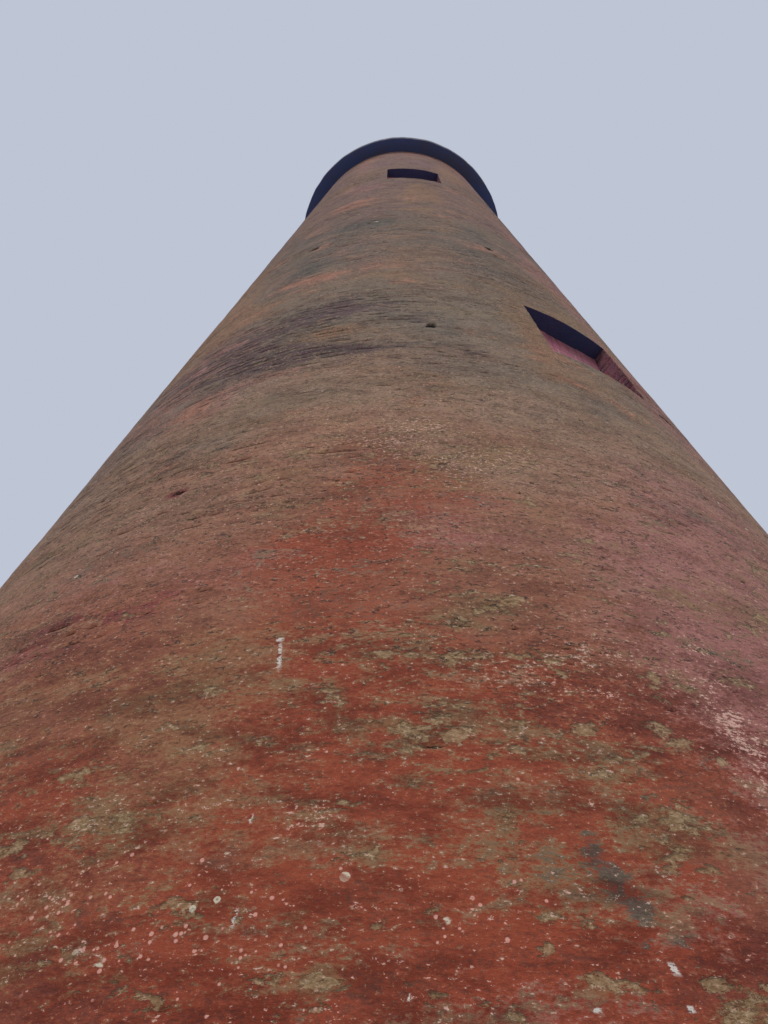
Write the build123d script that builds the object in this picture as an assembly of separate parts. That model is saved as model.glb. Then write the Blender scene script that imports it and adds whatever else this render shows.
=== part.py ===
from build123d import *
import math
import os

# A round, tapering masonry light tower with blocked windows, a gallery and a lantern.
# Sizes are in millimetres. The origin is on the tower's axis at ground level.
# Bearings are in degrees about the axis, from the front (minus Y) round towards plus X.

# Shaft
foot_radius = 3875.0
shaft_height = 17530.0
batter = 0.115
foot_wall = 900.0
middle_wall = 680.0
head_wall = 450.0

# Windows, all blocked up with brickwork set back from the face
window_width = 860.0
window_height = 1110.0
windows_per_row = 4
lower_window_sill = 6600.0
lower_window_bearing = 23.5
upper_window_sill = 13930.0
upper_window_bearing = 0.0
infill_setback = 125.0
infill_thickness = 225.0

# Floors, each on a ledge where the wall grows thinner
floor_thickness = 150.0
floor_clearance = 5.0
lower_floor_drop = 1100.0
upper_floor_drop = 1100.0

# Doorway, at the back
door_width = 1000.0
door_springing = 1900.0
door_arch_rise = 200.0
doorway_course_height = 2400.0
threshold_height = 150.0

# Gallery
slab_radius = 2100.0
slab_thickness = 120.0
slab_nosing = 20.0
rail_post_circle = 1780.0
rail_post_count = 16
rail_post_width = 50.0
rail_post_depth = 20.0
railing_height = 1000.0
rail_height = 40.0
rail_thickness = 12.0
top_rail_width = 60.0
rail_count = 3
member_gap = 0.3

# Lantern
lantern_radius = 1150.0
lantern_wall_thickness = 110.0
lantern_wall_height = 800.0
lantern_door_width = 620.0
lantern_door_gap = 2.0
ring_projection = 40.0
ring_depth = 200.0
ring_height = 60.0
pane_count = 10
pane_height = 1250.0
pane_thickness = 8.0
upright_width = 50.0
upright_depth = 60.0

# Lantern roof, with one slope over each pane, and the ventilator on top of it
eaves_overhang = 90.0
eaves_depth = 50.0
roof_rise = 820.0
roof_sheet = 20.0
roof_collar_radius = 150.0
roof_sag = 90.0
ventilator_neck_radius = 90.0
ventilator_neck_height = 120.0
hood_radius = 200.0
hood_skirt = 50.0
hood_rise = 150.0
spike_radius = 18.0
spike_height = 440.0

# Turns
full_turn = 360.0
quarter = 90.0
door_bearing = 180.0
half_a_step = 0.5

lower_ledge = lower_window_sill - lower_floor_drop
upper_ledge = upper_window_sill - upper_floor_drop
stages = [
    (0.0, lower_ledge, foot_wall),
    (lower_ledge, upper_ledge, middle_wall),
    (upper_ledge, shaft_height, head_wall),
]
slab_top = shaft_height + slab_thickness
on_its_foot = (Align.CENTER, Align.CENTER, Align.MIN)


def face_radius(height):
    """Radius of the outer face, which leans in as it rises."""
    return foot_radius - batter * height


def turned(shape, bearing):
    """A shape made on the front of the tower, turned to its bearing."""
    return shape.rotate(Axis.Z, bearing)


def swept_ring(outline, start, end):
    """An outline of radius and height, swept round the axis from one bearing to another."""
    section = make_face(Polyline(*[(radius, 0, height) for radius, height in outline], close=True))
    return turned(revolve(section, Axis.Z, end - start), start - quarter)


def wall_outline(low, high):
    """Section of the wall between two heights, with a ledge inside where it grows thinner."""
    inner = []
    for ledge, next_ledge, thickness in stages:
        start = max(ledge, low)
        end = min(next_ledge, high)
        if start < end:
            inner.append((face_radius(start) - thickness, start))
            inner.append((face_radius(end) - thickness, end))
    return [(face_radius(low), low), (face_radius(high), high)] + inner[::-1]


def wall_between(low, high, start, end):
    """A stretch of the shaft's wall."""
    return swept_ring(wall_outline(low, high), start, end)


def radial_block(width, low, high, bearing):
    """A block with parallel sides, from the axis out past the face."""
    block = Box(width, 2 * foot_radius, high - low, align=(Align.CENTER, Align.MAX, Align.MIN))
    return turned(Pos(0, 0, low) * block, bearing)


def window_row(sill, first_bearing):
    """The piers between a row's windows, and the brickwork that blocks them."""
    head = sill + window_height
    step = full_turn / windows_per_row
    half_width = window_width / 2
    front_of_infill = math.sqrt(face_radius(head) ** 2 - half_width ** 2) - infill_setback
    piers = []
    blocks = []
    for number in range(windows_per_row):
        start = first_bearing + number * step
        pier = wall_between(sill, head, start, start + step)
        for jamb in (start, start + step):
            pier = pier - radial_block(window_width, sill, head, jamb)
        piers.append(pier)
        block = Box(window_width, infill_thickness, window_height, align=(Align.CENTER, Align.MIN, Align.MIN))
        blocks.append(turned(Pos(0, -front_of_infill, sill) * block, start))
    return piers, blocks


def doorway_wedge():
    """The part of the wall over the doorway, between sloping skewbacks, with its arched underside."""
    half_width = door_width / 2
    arch_radius = (half_width ** 2 + door_arch_rise ** 2) / (2 * door_arch_rise)
    arch_centre = door_springing + door_arch_rise - arch_radius
    top_half_width = half_width * (doorway_course_height - arch_centre) / (door_springing - arch_centre)
    corners = [
        (-half_width, door_springing),
        (half_width, door_springing),
        (top_half_width, doorway_course_height),
        (-top_half_width, doorway_course_height),
    ]
    section = make_face(Polyline(*[(across, 0, up) for across, up in corners], close=True))
    wedge = extrude(section, amount=2 * foot_radius, dir=(0, 1, 0))
    inwards = Plane.XZ.offset(-2 * foot_radius)
    barrel = extrude(inwards * Pos(0, arch_centre) * Circle(arch_radius), amount=2 * foot_radius)
    return wedge, barrel


def floor_on(ledge, thickness_above):
    """A floor that lies on a ledge of the wall."""
    radius = face_radius(ledge + floor_thickness) - thickness_above - floor_clearance
    return Pos(0, 0, ledge) * Cylinder(radius, floor_thickness, align=on_its_foot)


def quarters(name, low, high):
    """A plain storey of the wall, in its four quarters."""
    found = {}
    for number, side in enumerate(("front", "right", "back", "left")):
        start = (number - half_a_step) * quarter
        found[name + "_" + side] = wall_between(low, high, start, start + quarter)
    return found


def doorway_course():
    """The lowest stretch of the wall, split beside and over the doorway."""
    low = 0.0
    high = doorway_course_height
    right_edge = door_bearing - quarter / 2
    left_edge = door_bearing + quarter / 2
    opening = radial_block(door_width, low, door_springing, door_bearing)
    wedge, barrel = doorway_wedge()
    walls = quarters("foot_wall", low, high)
    back = walls.pop("foot_wall_back")
    back_right = wall_between(low, high, right_edge, door_bearing)
    back_left = wall_between(low, high, door_bearing, left_edge)
    threshold_back = wall_between(low, threshold_height, right_edge, left_edge)
    walls["foot_wall_back_right"] = back_right - opening - wedge
    walls["foot_wall_back_left"] = back_left - opening - wedge
    walls["doorway_arch"] = (back & wedge) - barrel
    walls["doorway_threshold"] = threshold_back & opening
    return walls


def pier_names(name, piers):
    """Names for the piers, each by the side that it stands on."""
    sides = ("front_right", "back_right", "back_left", "front_left")
    return {name + "_" + side: pier for side, pier in zip(sides, piers)}


def between_members(circle, count, member_width, thickness):
    """Width and distance from the axis of a flat piece that fits between neighbours on a circle."""
    half_step = math.radians(full_turn / count / 2)
    end_setback = (member_width / 2 + thickness / 2 * math.sin(half_step) + member_gap) / math.cos(half_step)
    return 2 * (circle * math.sin(half_step) - end_setback), circle * math.cos(half_step)


def around(shape, count, first_step=0.0):
    """Copies of a piece at equal steps round the axis, the first at the front or part of a step past it."""
    step = full_turn / count
    return Compound(children=[turned(shape, (number + first_step) * step) for number in range(count)])


def top_rail_length():
    """One straight length of the top rail, mitred over the posts at both ends."""
    half_step = math.radians(full_turn / rail_post_count / 2)
    inner = rail_post_circle - top_rail_width / 2
    outer = rail_post_circle + top_rail_width / 2
    corners = []
    for radius, side in ((inner, -1), (outer, -1), (outer, 1), (inner, 1)):
        half_length = radius * math.sin(half_step) - member_gap / 2
        corners.append((side * half_length, -radius * math.cos(half_step)))
    section = make_face(Polyline(*corners, close=True))
    return Pos(0, 0, slab_top + railing_height) * extrude(section, amount=rail_thickness)


def gallery():
    """The slab that caps the shaft, and the railing that stands on it."""
    slab_outline = [
        (0, shaft_height),
        (slab_radius, shaft_height),
        (slab_radius, slab_top - slab_nosing),
        (slab_radius - slab_nosing, slab_top),
        (0, slab_top),
    ]
    post = Box(rail_post_width, rail_post_depth, railing_height, align=on_its_foot)
    rail_length, rail_distance = between_members(
        rail_post_circle, rail_post_count, rail_post_width, rail_thickness
    )
    rail = Box(rail_length, rail_thickness, rail_height)
    rails = []
    for level in range(1, rail_count):
        height = slab_top + railing_height * level / rail_count
        rails.extend(around(Pos(0, -rail_distance, height) * rail, rail_post_count, half_a_step).children)
    return {
        "gallery_slab": swept_ring(slab_outline, 0.0, full_turn),
        "railing_posts": around(Pos(0, -rail_post_circle, slab_top) * post, rail_post_count),
        "railing_rails": Compound(children=rails),
        "railing_top_rail": around(top_rail_length(), rail_post_count, half_a_step),
    }


def flat_ring(outer, inner, low, height):
    """A flat ring about the axis."""
    outline = [(inner, low), (outer, low), (outer, low + height), (inner, low + height)]
    return swept_ring(outline, 0.0, full_turn)


def roof_outline(flats, height):
    """The roof's plan at a height, with a side over each pane, at this distance from the axis."""
    half_step = full_turn / pane_count / 2
    corner_radius = flats / math.cos(math.radians(half_step))
    return Pos(0, 0, height) * RegularPolygon(corner_radius, pane_count, rotation=half_step - quarter)


def lantern_roof(low, head_outer, head_inner):
    """The roof: an eaves board, then two pitches, the lower one flatter, all of them hollow."""
    eaves_flats = head_outer + eaves_overhang
    eaves_top = low + eaves_depth
    knee_flats = (eaves_flats + roof_collar_radius) / 2
    knee = eaves_top + roof_rise / 2 - roof_sag
    collar = eaves_top + roof_rise
    eaves = extrude(roof_outline(eaves_flats, low), amount=eaves_depth)
    pitches = loft(
        [
            roof_outline(eaves_flats, eaves_top),
            roof_outline(knee_flats, knee),
            roof_outline(roof_collar_radius, collar),
        ],
        ruled=True,
    )
    hollow = loft(
        [
            roof_outline(head_inner, low),
            roof_outline(knee_flats - roof_sheet, knee - roof_sheet),
            roof_outline(roof_collar_radius - roof_sheet, collar - roof_sheet),
        ],
        ruled=True,
    )
    return eaves + pitches - hollow, collar


def roof_ventilator(low):
    """The ventilator: a neck, a hood with a skirt over it, and a spike, turned in one piece."""
    skirt_low = low + ventilator_neck_height
    skirt_top = skirt_low + hood_skirt
    hood_top = skirt_top + hood_rise
    outline = [
        (0, low),
        (ventilator_neck_radius, low),
        (ventilator_neck_radius, skirt_low),
        (hood_radius, skirt_low),
        (hood_radius, skirt_top),
        (spike_radius, hood_top),
        (spike_radius, hood_top + spike_height),
        (0, hood_top + spike_height),
    ]
    return swept_ring(outline, 0.0, full_turn)


def lantern():
    """The lantern on the gallery: its low wall, glazing, roof and ventilator."""
    wall_top = slab_top + lantern_wall_height
    wall_inner = lantern_radius - lantern_wall_thickness
    ring_outer = lantern_radius + ring_projection
    ring_inner = ring_outer - ring_depth
    glazing_low = wall_top + ring_height
    glazing_high = glazing_low + pane_height
    glazing_circle = lantern_radius - lantern_wall_thickness / 2

    whole_wall = flat_ring(lantern_radius, wall_inner, slab_top, lantern_wall_height)
    leaf_width = lantern_door_width - 2 * lantern_door_gap
    door_opening = radial_block(lantern_door_width, slab_top, wall_top, door_bearing)
    door_leaf = radial_block(leaf_width, slab_top, wall_top, door_bearing)

    upright = Box(upright_width, upright_depth, pane_height, align=on_its_foot)
    pane_width, pane_distance = between_members(glazing_circle, pane_count, upright_width, pane_thickness)
    pane = Box(pane_width, pane_thickness, pane_height, align=on_its_foot)
    roof, roof_top = lantern_roof(glazing_high + ring_height, ring_outer, ring_inner)
    return {
        "lantern_wall": whole_wall - door_opening,
        "lantern_door": whole_wall & door_leaf,
        "lantern_sill": flat_ring(ring_outer, ring_inner, wall_top, ring_height),
        "lantern_uprights": around(Pos(0, -glazing_circle, glazing_low) * upright, pane_count, half_a_step),
        "lantern_panes": around(Pos(0, -pane_distance, glazing_low) * pane, pane_count),
        "lantern_head": flat_ring(ring_outer, ring_inner, glazing_high, ring_height),
        "lantern_roof": roof,
        "roof_ventilator": roof_ventilator(roof_top),
    }


def tower():
    """Every piece of the tower, by name."""
    lower_head = lower_window_sill + window_height
    upper_head = upper_window_sill + window_height
    lower_piers, lower_blocks = window_row(lower_window_sill, lower_window_bearing)
    upper_piers, upper_blocks = window_row(upper_window_sill, upper_window_bearing)
    ground_floor_radius = face_radius(threshold_height) - foot_wall - member_gap
    pieces = {}
    pieces.update(doorway_course())
    pieces.update(quarters("lower_wall", doorway_course_height, lower_window_sill))
    pieces.update(pier_names("lower_pier", lower_piers))
    pieces.update(quarters("middle_wall", lower_head, upper_window_sill))
    pieces.update(pier_names("upper_pier", upper_piers))
    pieces.update(quarters("head_wall", upper_head, shaft_height))
    pieces["lower_window_infill"] = Compound(children=lower_blocks)
    pieces["upper_window_infill"] = Compound(children=upper_blocks)
    pieces["ground_floor"] = Cylinder(ground_floor_radius, threshold_height, align=on_its_foot)
    pieces["lower_floor"] = floor_on(lower_ledge, middle_wall)
    pieces["upper_floor"] = floor_on(upper_ledge, head_wall)
    pieces.update(gallery())
    pieces.update(lantern())
    return pieces


os.makedirs("parts", exist_ok=True)
for name, piece in tower().items():
    export_step(piece, os.path.join("parts", name + ".step"))
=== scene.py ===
# %% [markdown]
# A tapering round light tower of painted brickwork, dressed for its portrait.
# The CAD model brings every piece at its real size and place, and it stays as it is. This lesson gives each
# piece its finish, and swaps the plain wall solids for finely gridded ones, which can carry brick courses
# and flaked paint as real relief.

# %% Load the tower's frame
import math

import bmesh
import bpy
import numpy as np
from mathutils import Matrix, Vector


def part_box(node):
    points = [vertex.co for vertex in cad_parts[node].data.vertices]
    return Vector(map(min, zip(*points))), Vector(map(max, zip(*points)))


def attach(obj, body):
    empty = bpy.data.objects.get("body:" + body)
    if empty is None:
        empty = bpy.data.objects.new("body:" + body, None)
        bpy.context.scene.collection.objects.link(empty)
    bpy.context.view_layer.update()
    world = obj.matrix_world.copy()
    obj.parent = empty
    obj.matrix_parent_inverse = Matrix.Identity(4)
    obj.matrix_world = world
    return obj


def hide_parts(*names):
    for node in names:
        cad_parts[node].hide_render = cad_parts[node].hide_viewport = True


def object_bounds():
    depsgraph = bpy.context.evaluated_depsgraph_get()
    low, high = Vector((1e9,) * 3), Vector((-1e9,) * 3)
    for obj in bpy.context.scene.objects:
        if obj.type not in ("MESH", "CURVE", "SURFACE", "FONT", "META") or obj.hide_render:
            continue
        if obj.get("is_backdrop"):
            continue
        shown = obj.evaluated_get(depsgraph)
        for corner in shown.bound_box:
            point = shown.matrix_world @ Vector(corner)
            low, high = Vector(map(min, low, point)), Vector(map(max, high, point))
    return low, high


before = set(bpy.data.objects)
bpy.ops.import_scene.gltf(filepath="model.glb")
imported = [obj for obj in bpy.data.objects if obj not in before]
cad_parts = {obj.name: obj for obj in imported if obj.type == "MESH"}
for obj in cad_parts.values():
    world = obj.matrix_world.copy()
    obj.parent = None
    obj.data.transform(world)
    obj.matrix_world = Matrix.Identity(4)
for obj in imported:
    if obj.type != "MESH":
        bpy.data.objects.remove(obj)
cad_low, cad_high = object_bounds()
cad_size = cad_high - cad_low
print("the tower is", round(cad_size.z, 2), "m tall and", round(cad_size.x, 2), "m across the foot")

# %% [markdown]
# The photograph was taken from close to the wall, looking steeply up at it.
# A camera could be aimed with a Track To constraint, but a tilt to one side would be lost. Here it is given
# by where it stands, as a height and as a distance and bearing from the tower's axis, and by three angles,
# which are turned into its three axes.

# %% Stand the camera close to the wall
EYE_HEIGHT = 1.6
EYE_DISTANCE = 5.366
EYE_BEARING = math.radians(-5.35)
HEADING = math.radians(3.13)
PITCH = math.radians(51.59)
ROLL = math.radians(1.61)
LENS = 26.02
NEAREST = 0.05
FARTHEST = 500.0


def camera_axes(heading, pitch, roll):
    """Right, up and forward of a camera that looks along +Y when all its angles are nought."""
    ahead = np.array([math.sin(heading), math.cos(heading), 0.0])
    side = np.array([math.cos(heading), -math.sin(heading), 0.0])
    top = np.array([0.0, 0.0, 1.0])
    forward = ahead * math.cos(pitch) + top * math.sin(pitch)
    upward = top * math.cos(pitch) - ahead * math.sin(pitch)
    tilted_side = side * math.cos(roll) + upward * math.sin(roll)
    tilted_up = upward * math.cos(roll) - side * math.sin(roll)
    return tilted_side, tilted_up, forward


right, upward, forward = camera_axes(HEADING, PITCH, ROLL)
stand = (EYE_DISTANCE * math.sin(EYE_BEARING), -EYE_DISTANCE * math.cos(EYE_BEARING), EYE_HEIGHT)
camera_data = bpy.data.cameras.new("eye")
camera_data.lens = LENS
camera_data.clip_start = NEAREST
camera_data.clip_end = FARTHEST
camera = bpy.data.objects.new("eye", camera_data)
bpy.context.scene.collection.objects.link(camera)
rows = [[right[i], upward[i], -forward[i], stand[i]] for i in range(3)]
camera.matrix_world = Matrix(rows + [[0, 0, 0, 1]])
bpy.context.scene.camera = camera
print("the camera stands at", [round(v, 2) for v in stand])

# %% [markdown]
# Colours are picked as screen values from 0 to 255, but shaders work in linear light.
# One small helper does the change, so that the colours below stay readable.

# %% Change a screen colour to linear light


def shade(red, green, blue):
    """A screen colour as linear light, with full alpha."""
    light = []
    for channel in (red, green, blue):
        part = channel / 255
        light.append(part / 12.92 if part <= 0.04045 else ((part + 0.055) / 1.055) ** 2.4)
    return (*light, 1.0)


print("mid grey is", round(shade(128, 128, 128)[0], 3), "in linear light")

# %% [markdown]
# A finish is a tree of nodes, and a tree is long to write one link at a time.
# A sum is much shorter, and most of the nodes are sums. So what comes out of a node is kept in a small class
# of its own, which turns the usual signs into nodes: a value times 0.5 is the next node's value.

# %% A value that can be added and multiplied


class Value:
    """What comes out of a node; a sum with it makes the next node."""

    def __init__(self, sums, socket):
        self.sums, self.socket = sums, socket

    def __add__(self, other):
        return self.sums.math("ADD", self, other)

    def __sub__(self, other):
        return self.sums.math("SUBTRACT", self, other)

    def __rsub__(self, other):
        return self.sums.math("SUBTRACT", other, self)

    def __mul__(self, other):
        return self.sums.math("MULTIPLY", self, other)

    def __truediv__(self, other):
        return self.sums.math("DIVIDE", self, other)

    def __abs__(self):
        return self.sums.math("ABSOLUTE", self)


print("a value can be added, subtracted, multiplied and divided")

# %% [markdown]
# Every other kind of node is offered as one step, which takes values and returns one. The steps come in three
# parts, each of them built on the one before. The first part reckons with numbers; the material and its tree
# are made by the last one.

# %% A helper for the steps that reckon


class Sums:
    """Steps that take numbers and give a number."""

    def feed(self, socket, value):
        """Link another node's value into this socket, or set a plain one."""
        if isinstance(value, Value):
            self.tree.links.new(value.socket, socket)
        else:
            socket.default_value = value

    def math(self, operation, *values):
        """One sum, product or other operation."""
        node = self.tree.nodes.new("ShaderNodeMath")
        node.operation = operation
        for socket, value in zip(node.inputs, values):
            self.feed(socket, value)
        return Value(self, node.outputs[0])

    def chance(self, value):
        """A random value for each whole number."""
        node = self.tree.nodes.new("ShaderNodeTexWhiteNoise")
        node.noise_dimensions = "1D"
        self.feed(node.inputs["W"], value)
        return Value(self, node.outputs["Value"])

    def between(self, value, low, high, to_low=0.0, to_high=1.0):
        """A smooth step from one limit to the other."""
        node = self.tree.nodes.new("ShaderNodeMapRange")
        node.interpolation_type = "SMOOTHSTEP"
        for socket, setting in zip(node.inputs, (value, low, high, to_low, to_high)):
            self.feed(socket, setting)
        return Value(self, node.outputs[0])


print("sums are built on the nodes of Blender", bpy.app.version_string)

# %% [markdown]
# The second part reads the surface: where a point is, which way it faces, what the mesh's maps say there, and
# how high noise stands. Noise can be squashed along an axis by stretching the place where it is read.

# %% A helper for the steps that read the surface


class Readings(Sums):
    """Steps that read places, noise and maps."""

    def scaled(self, vector, factors):
        """A place stretched along each axis, so that noise read there is squashed."""
        node = self.tree.nodes.new("ShaderNodeVectorMath")
        node.operation = "MULTIPLY"
        self.feed(node.inputs[0], vector)
        self.feed(node.inputs[1], factors)
        return Value(self, node.outputs[0])

    def split(self, vector):
        """The three parts of a vector or a colour."""
        node = self.tree.nodes.new("ShaderNodeSeparateXYZ")
        self.feed(node.inputs[0], vector)
        return [Value(self, part) for part in node.outputs]

    def joined(self, x, y, z):
        """A vector made of three parts."""
        node = self.tree.nodes.new("ShaderNodeCombineXYZ")
        for socket, value in zip(node.inputs, (x, y, z)):
            self.feed(socket, value)
        return Value(self, node.outputs[0])

    def noise(self, scale, detail=4.0, roughness=0.55, at=None):
        """Cloudy noise round 0.5, with so many waves to the metre."""
        node = self.tree.nodes.new("ShaderNodeTexNoise")
        self.feed(node.inputs["Vector"], at or self.flat)
        node.inputs["Scale"].default_value = scale
        node.inputs["Detail"].default_value = detail
        node.inputs["Roughness"].default_value = roughness
        return Value(self, node.outputs["Fac"])

    def cells(self, scale):
        """Distance from the middle of the nearest random cell, and two random values of that cell."""
        node = self.tree.nodes.new("ShaderNodeTexVoronoi")
        self.feed(node.inputs["Vector"], self.place)
        node.inputs["Scale"].default_value = scale
        chances = self.split(Value(self, node.outputs["Color"]))
        return Value(self, node.outputs["Distance"]), chances[0], chances[1]

    def upward(self):
        """How far the surface faces up: 1 for a floor, 0 for a wall, -1 for a ceiling."""
        geometry = self.tree.nodes.new("ShaderNodeNewGeometry")
        return self.split(Value(self, geometry.outputs["Normal"]))[2]

    def field(self, name):
        """A map that the mesh carries at its points."""
        node = self.tree.nodes.new("ShaderNodeAttribute")
        node.attribute_name = name
        return Value(self, node.outputs["Fac"])


print("noise and maps can be read in", len([step for step in vars(Readings) if step[0] != "_"]), "ways")

# %% [markdown]
# The last part makes the material. It lays colour over colour, as a painter does, and raises or sinks the
# surface.

# %% A helper for the steps that lay colour


class Finish(Readings):
    """One procedural material, built up in layers."""

    def __init__(self, name, stretch=(1, 1, 1)):
        self.material = bpy.data.materials.new(name)
        self.material.use_nodes = True
        self.tree = self.material.node_tree
        self.tree.nodes.clear()
        self.shader = self.tree.nodes.new("ShaderNodeBsdfPrincipled")
        output = self.tree.nodes.new("ShaderNodeOutputMaterial")
        self.tree.links.new(self.shader.outputs[0], output.inputs[0])
        self.place = Value(self, self.tree.nodes.new("ShaderNodeTexCoord").outputs["Object"])
        self.flat = self.scaled(self.place, stretch)

    def layer(self, amount, under, over, blend="MIX"):
        """One colour over another, as thick as amount says."""
        node = self.tree.nodes.new("ShaderNodeMix")
        node.data_type = "RGBA"
        node.blend_type = blend
        self.feed(node.inputs["Factor"], amount)
        self.feed(node.inputs["A"], under)
        self.feed(node.inputs["B"], over)
        return Value(self, node.outputs["Result"])

    def ramp(self, value, stops):
        """A colour picked along a row of stops."""
        node = self.tree.nodes.new("ShaderNodeValToRGB")
        self.feed(node.inputs[0], value)
        elements = node.color_ramp.elements
        while len(elements) < len(stops):
            elements.new(0.5)
        for element, (position, colour) in zip(elements, stops):
            element.position = position
            element.color = colour
        return Value(self, node.outputs[0])

    def bump(self, height, depth):
        """Fine relief, with its depth in metres."""
        node = self.tree.nodes.new("ShaderNodeBump")
        node.inputs["Distance"].default_value = depth
        self.feed(node.inputs["Height"], height)
        return Value(self, node.outputs[0])

    def done(self, colour, roughness, normal):
        """Feed the shader, and hand over the material."""
        self.feed(self.shader.inputs["Base Color"], colour)
        self.feed(self.shader.inputs["Roughness"], roughness)
        self.feed(self.shader.inputs["Normal"], normal)
        return self.material


print("a finish can take", len([step for step in dir(Finish) if not step.startswith("_")]), "kinds of step")

# %% [markdown]
# Weather doesn't fall evenly on a wall, so the flakes and stains need a map.
# A painted image could hold it, but a formula keeps the file small and joins up all the way round. Each map
# is value noise: random numbers on a lattice, blended smoothly, in a few layers of finer and finer cells.

# %% Noise that joins up round the tower
MEAN_GIRTH = 2 * math.pi * 3.0
NOISE_TOP = 18.0
FINER_LAYER_SHARE = 0.6
FULL_TURN = 360.0


def ease(value, low, high):
    """Nought below one limit, one above the other, and a smooth rise between."""
    share = np.clip((value - low) / (high - low), 0.0, 1.0)
    return share * share * (3 - 2 * share)


def patchwork(seed, wide, tall, layers=4):
    """A random field from about -1 to 1; wide and tall are the size of its patches in metres."""
    random = np.random.default_rng(seed)
    lattices = []
    for layer in range(layers):
        cells = max(3, round(MEAN_GIRTH / wide * 2 ** layer))
        levels = math.ceil(NOISE_TOP / tall * 2 ** layer) + 3
        lattices.append(random.random((levels, cells)) * 2 - 1)

    def field(bearing, height):
        total = 0.0
        for layer, lattice in enumerate(lattices):
            levels, cells = lattice.shape
            across = np.mod(bearing / FULL_TURN, 1.0) * cells
            up = np.clip(height / tall * 2 ** layer, 0.0, levels - 1.001)
            column = np.floor(across).astype(int)
            row = np.floor(up).astype(int)
            x = ease(across - column, 0, 1)
            y = ease(up - row, 0, 1)
            left, right = column % cells, (column + 1) % cells
            low = lattice[row, left] * (1 - x) + lattice[row, right] * x
            high = lattice[row + 1, left] * (1 - x) + lattice[row + 1, right] * x
            total = total + (low * (1 - y) + high * y) * FINER_LAYER_SHARE ** layer
        return total

    return field


def turn_between(bearing, centre):
    """Degrees from one bearing to another, the short way round."""
    return np.mod(bearing - centre + FULL_TURN / 2, FULL_TURN) - FULL_TURN / 2


def spots(bearing, height, places):
    """Soft oval patches, each with its bearing, height, half-width in degrees, half-height and strength."""
    total = 0.0
    for centre, level, wide, tall, strength in places:
        turn = turn_between(bearing, centre)
        total = total + strength * np.exp(-((turn / wide) ** 2) - ((height - level) / tall) ** 2)
    return total


print("a lattice cell of 0.5 m goes", round(MEAN_GIRTH / 0.5), "times round the tower")

# %% [markdown]
# The wall leans in, and it is laid in courses of brick and joint.
# The radius of its foot and the levels of its openings are read from the frame. Only the lean has to be
# stated, because a box round a piece doesn't show it. A course is as high as the rows of windows allow: 99
# courses lie between their two sills.

# %% Measure the wall and its courses
foot_low, foot_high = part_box("foot_wall_front")
slab_low, slab_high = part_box("gallery_slab")
FOOT_RADIUS = -foot_low.y
SHAFT_TOP = slab_low.z
BATTER = 0.115
LOWER_SILL, LOWER_HEAD = [corner.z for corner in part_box("lower_pier_front_right")]
UPPER_SILL, UPPER_HEAD = [corner.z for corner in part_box("upper_pier_front_right")]
DOOR_COURSE = foot_high.z
COURSES_BETWEEN_SILLS = 99
COURSE = (UPPER_SILL - LOWER_SILL) / COURSES_BETWEEN_SILLS
JOINT = 0.010


def radius_at(height):
    """Radius of the wall's outer face."""
    return FOOT_RADIUS - BATTER * height


print("a course is", round(COURSE * 1000, 1), "mm high")
print("the wall's radius under the slab is", round(radius_at(SHAFT_TOP), 3), "m")

# %% [markdown]
# The mesh has a row of points at each edge and at the middle of every mortar joint, so that a joint is a
# clean groove. Between them the rows are closer where the wall is seen from nearby, and farther apart
# elsewhere. Columns are close in front and wide at the back. One set of rows and columns serves every piece
# of wall, so neighbours meet point to point.

# %% Lay out the rows and columns of the wall's mesh
CLOSE_ROWS = (0.0, 0.005, 0.010, 0.031, 0.052)
MIDDLE_ROWS = (0.0, 0.005, 0.010, 0.042)
FAR_ROWS = (0.0, 0.005, 0.010)
CLOSE_FROM = 2.1
MIDDLE_FROM = 6.3
FAR_FROM = 8.5
ROW_GAP = 0.003
COLUMN_GAP = 0.05


def rows_in_course(level):
    """Heights of a course's rows over its lower edge, closest together where the camera is near."""
    if CLOSE_FROM < level < MIDDLE_FROM:
        return CLOSE_ROWS
    return MIDDLE_ROWS if MIDDLE_FROM <= level < FAR_FROM else FAR_ROWS


def course_rows(low, high):
    """Heights of the mesh's rows from one level to another."""
    rows = [low]
    first = math.floor((low - LOWER_SILL) / COURSE)
    last = math.ceil((high - LOWER_SILL) / COURSE)
    for course in range(first, last + 1):
        level = LOWER_SILL + course * COURSE
        levels = [level + step for step in rows_in_course(level)]
        rows += [one for one in levels if low + ROW_GAP < one < high - ROW_GAP]
    return np.array(rows + [high])


def grid_bearings():
    """Bearings of the mesh's columns, in one turn from the back round to the back."""
    edges = [-180, -135, -62, -45, 45, 55, 135, 180]
    steps = [1.5, 1.46, 0.68, 0.4, 0.667, 1.455, 1.5]
    found = []
    for start, end, step in zip(edges, edges[1:], steps):
        found += list(np.linspace(start, end, round((end - start) / step), endpoint=False))
    return np.array(found)


BEARINGS = grid_bearings()


def columns_between(start, end):
    """The grid's columns from one bearing to another, with both ends."""
    turns = np.concatenate([BEARINGS - FULL_TURN, BEARINGS, BEARINGS + FULL_TURN])
    inside = turns[(turns > start + COLUMN_GAP) & (turns < end - COLUMN_GAP)]
    return np.concatenate([[start], inside, [end]])


print(len(BEARINGS), "columns round the tower and", len(course_rows(0, SHAFT_TOP)), "rows up it")
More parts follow.
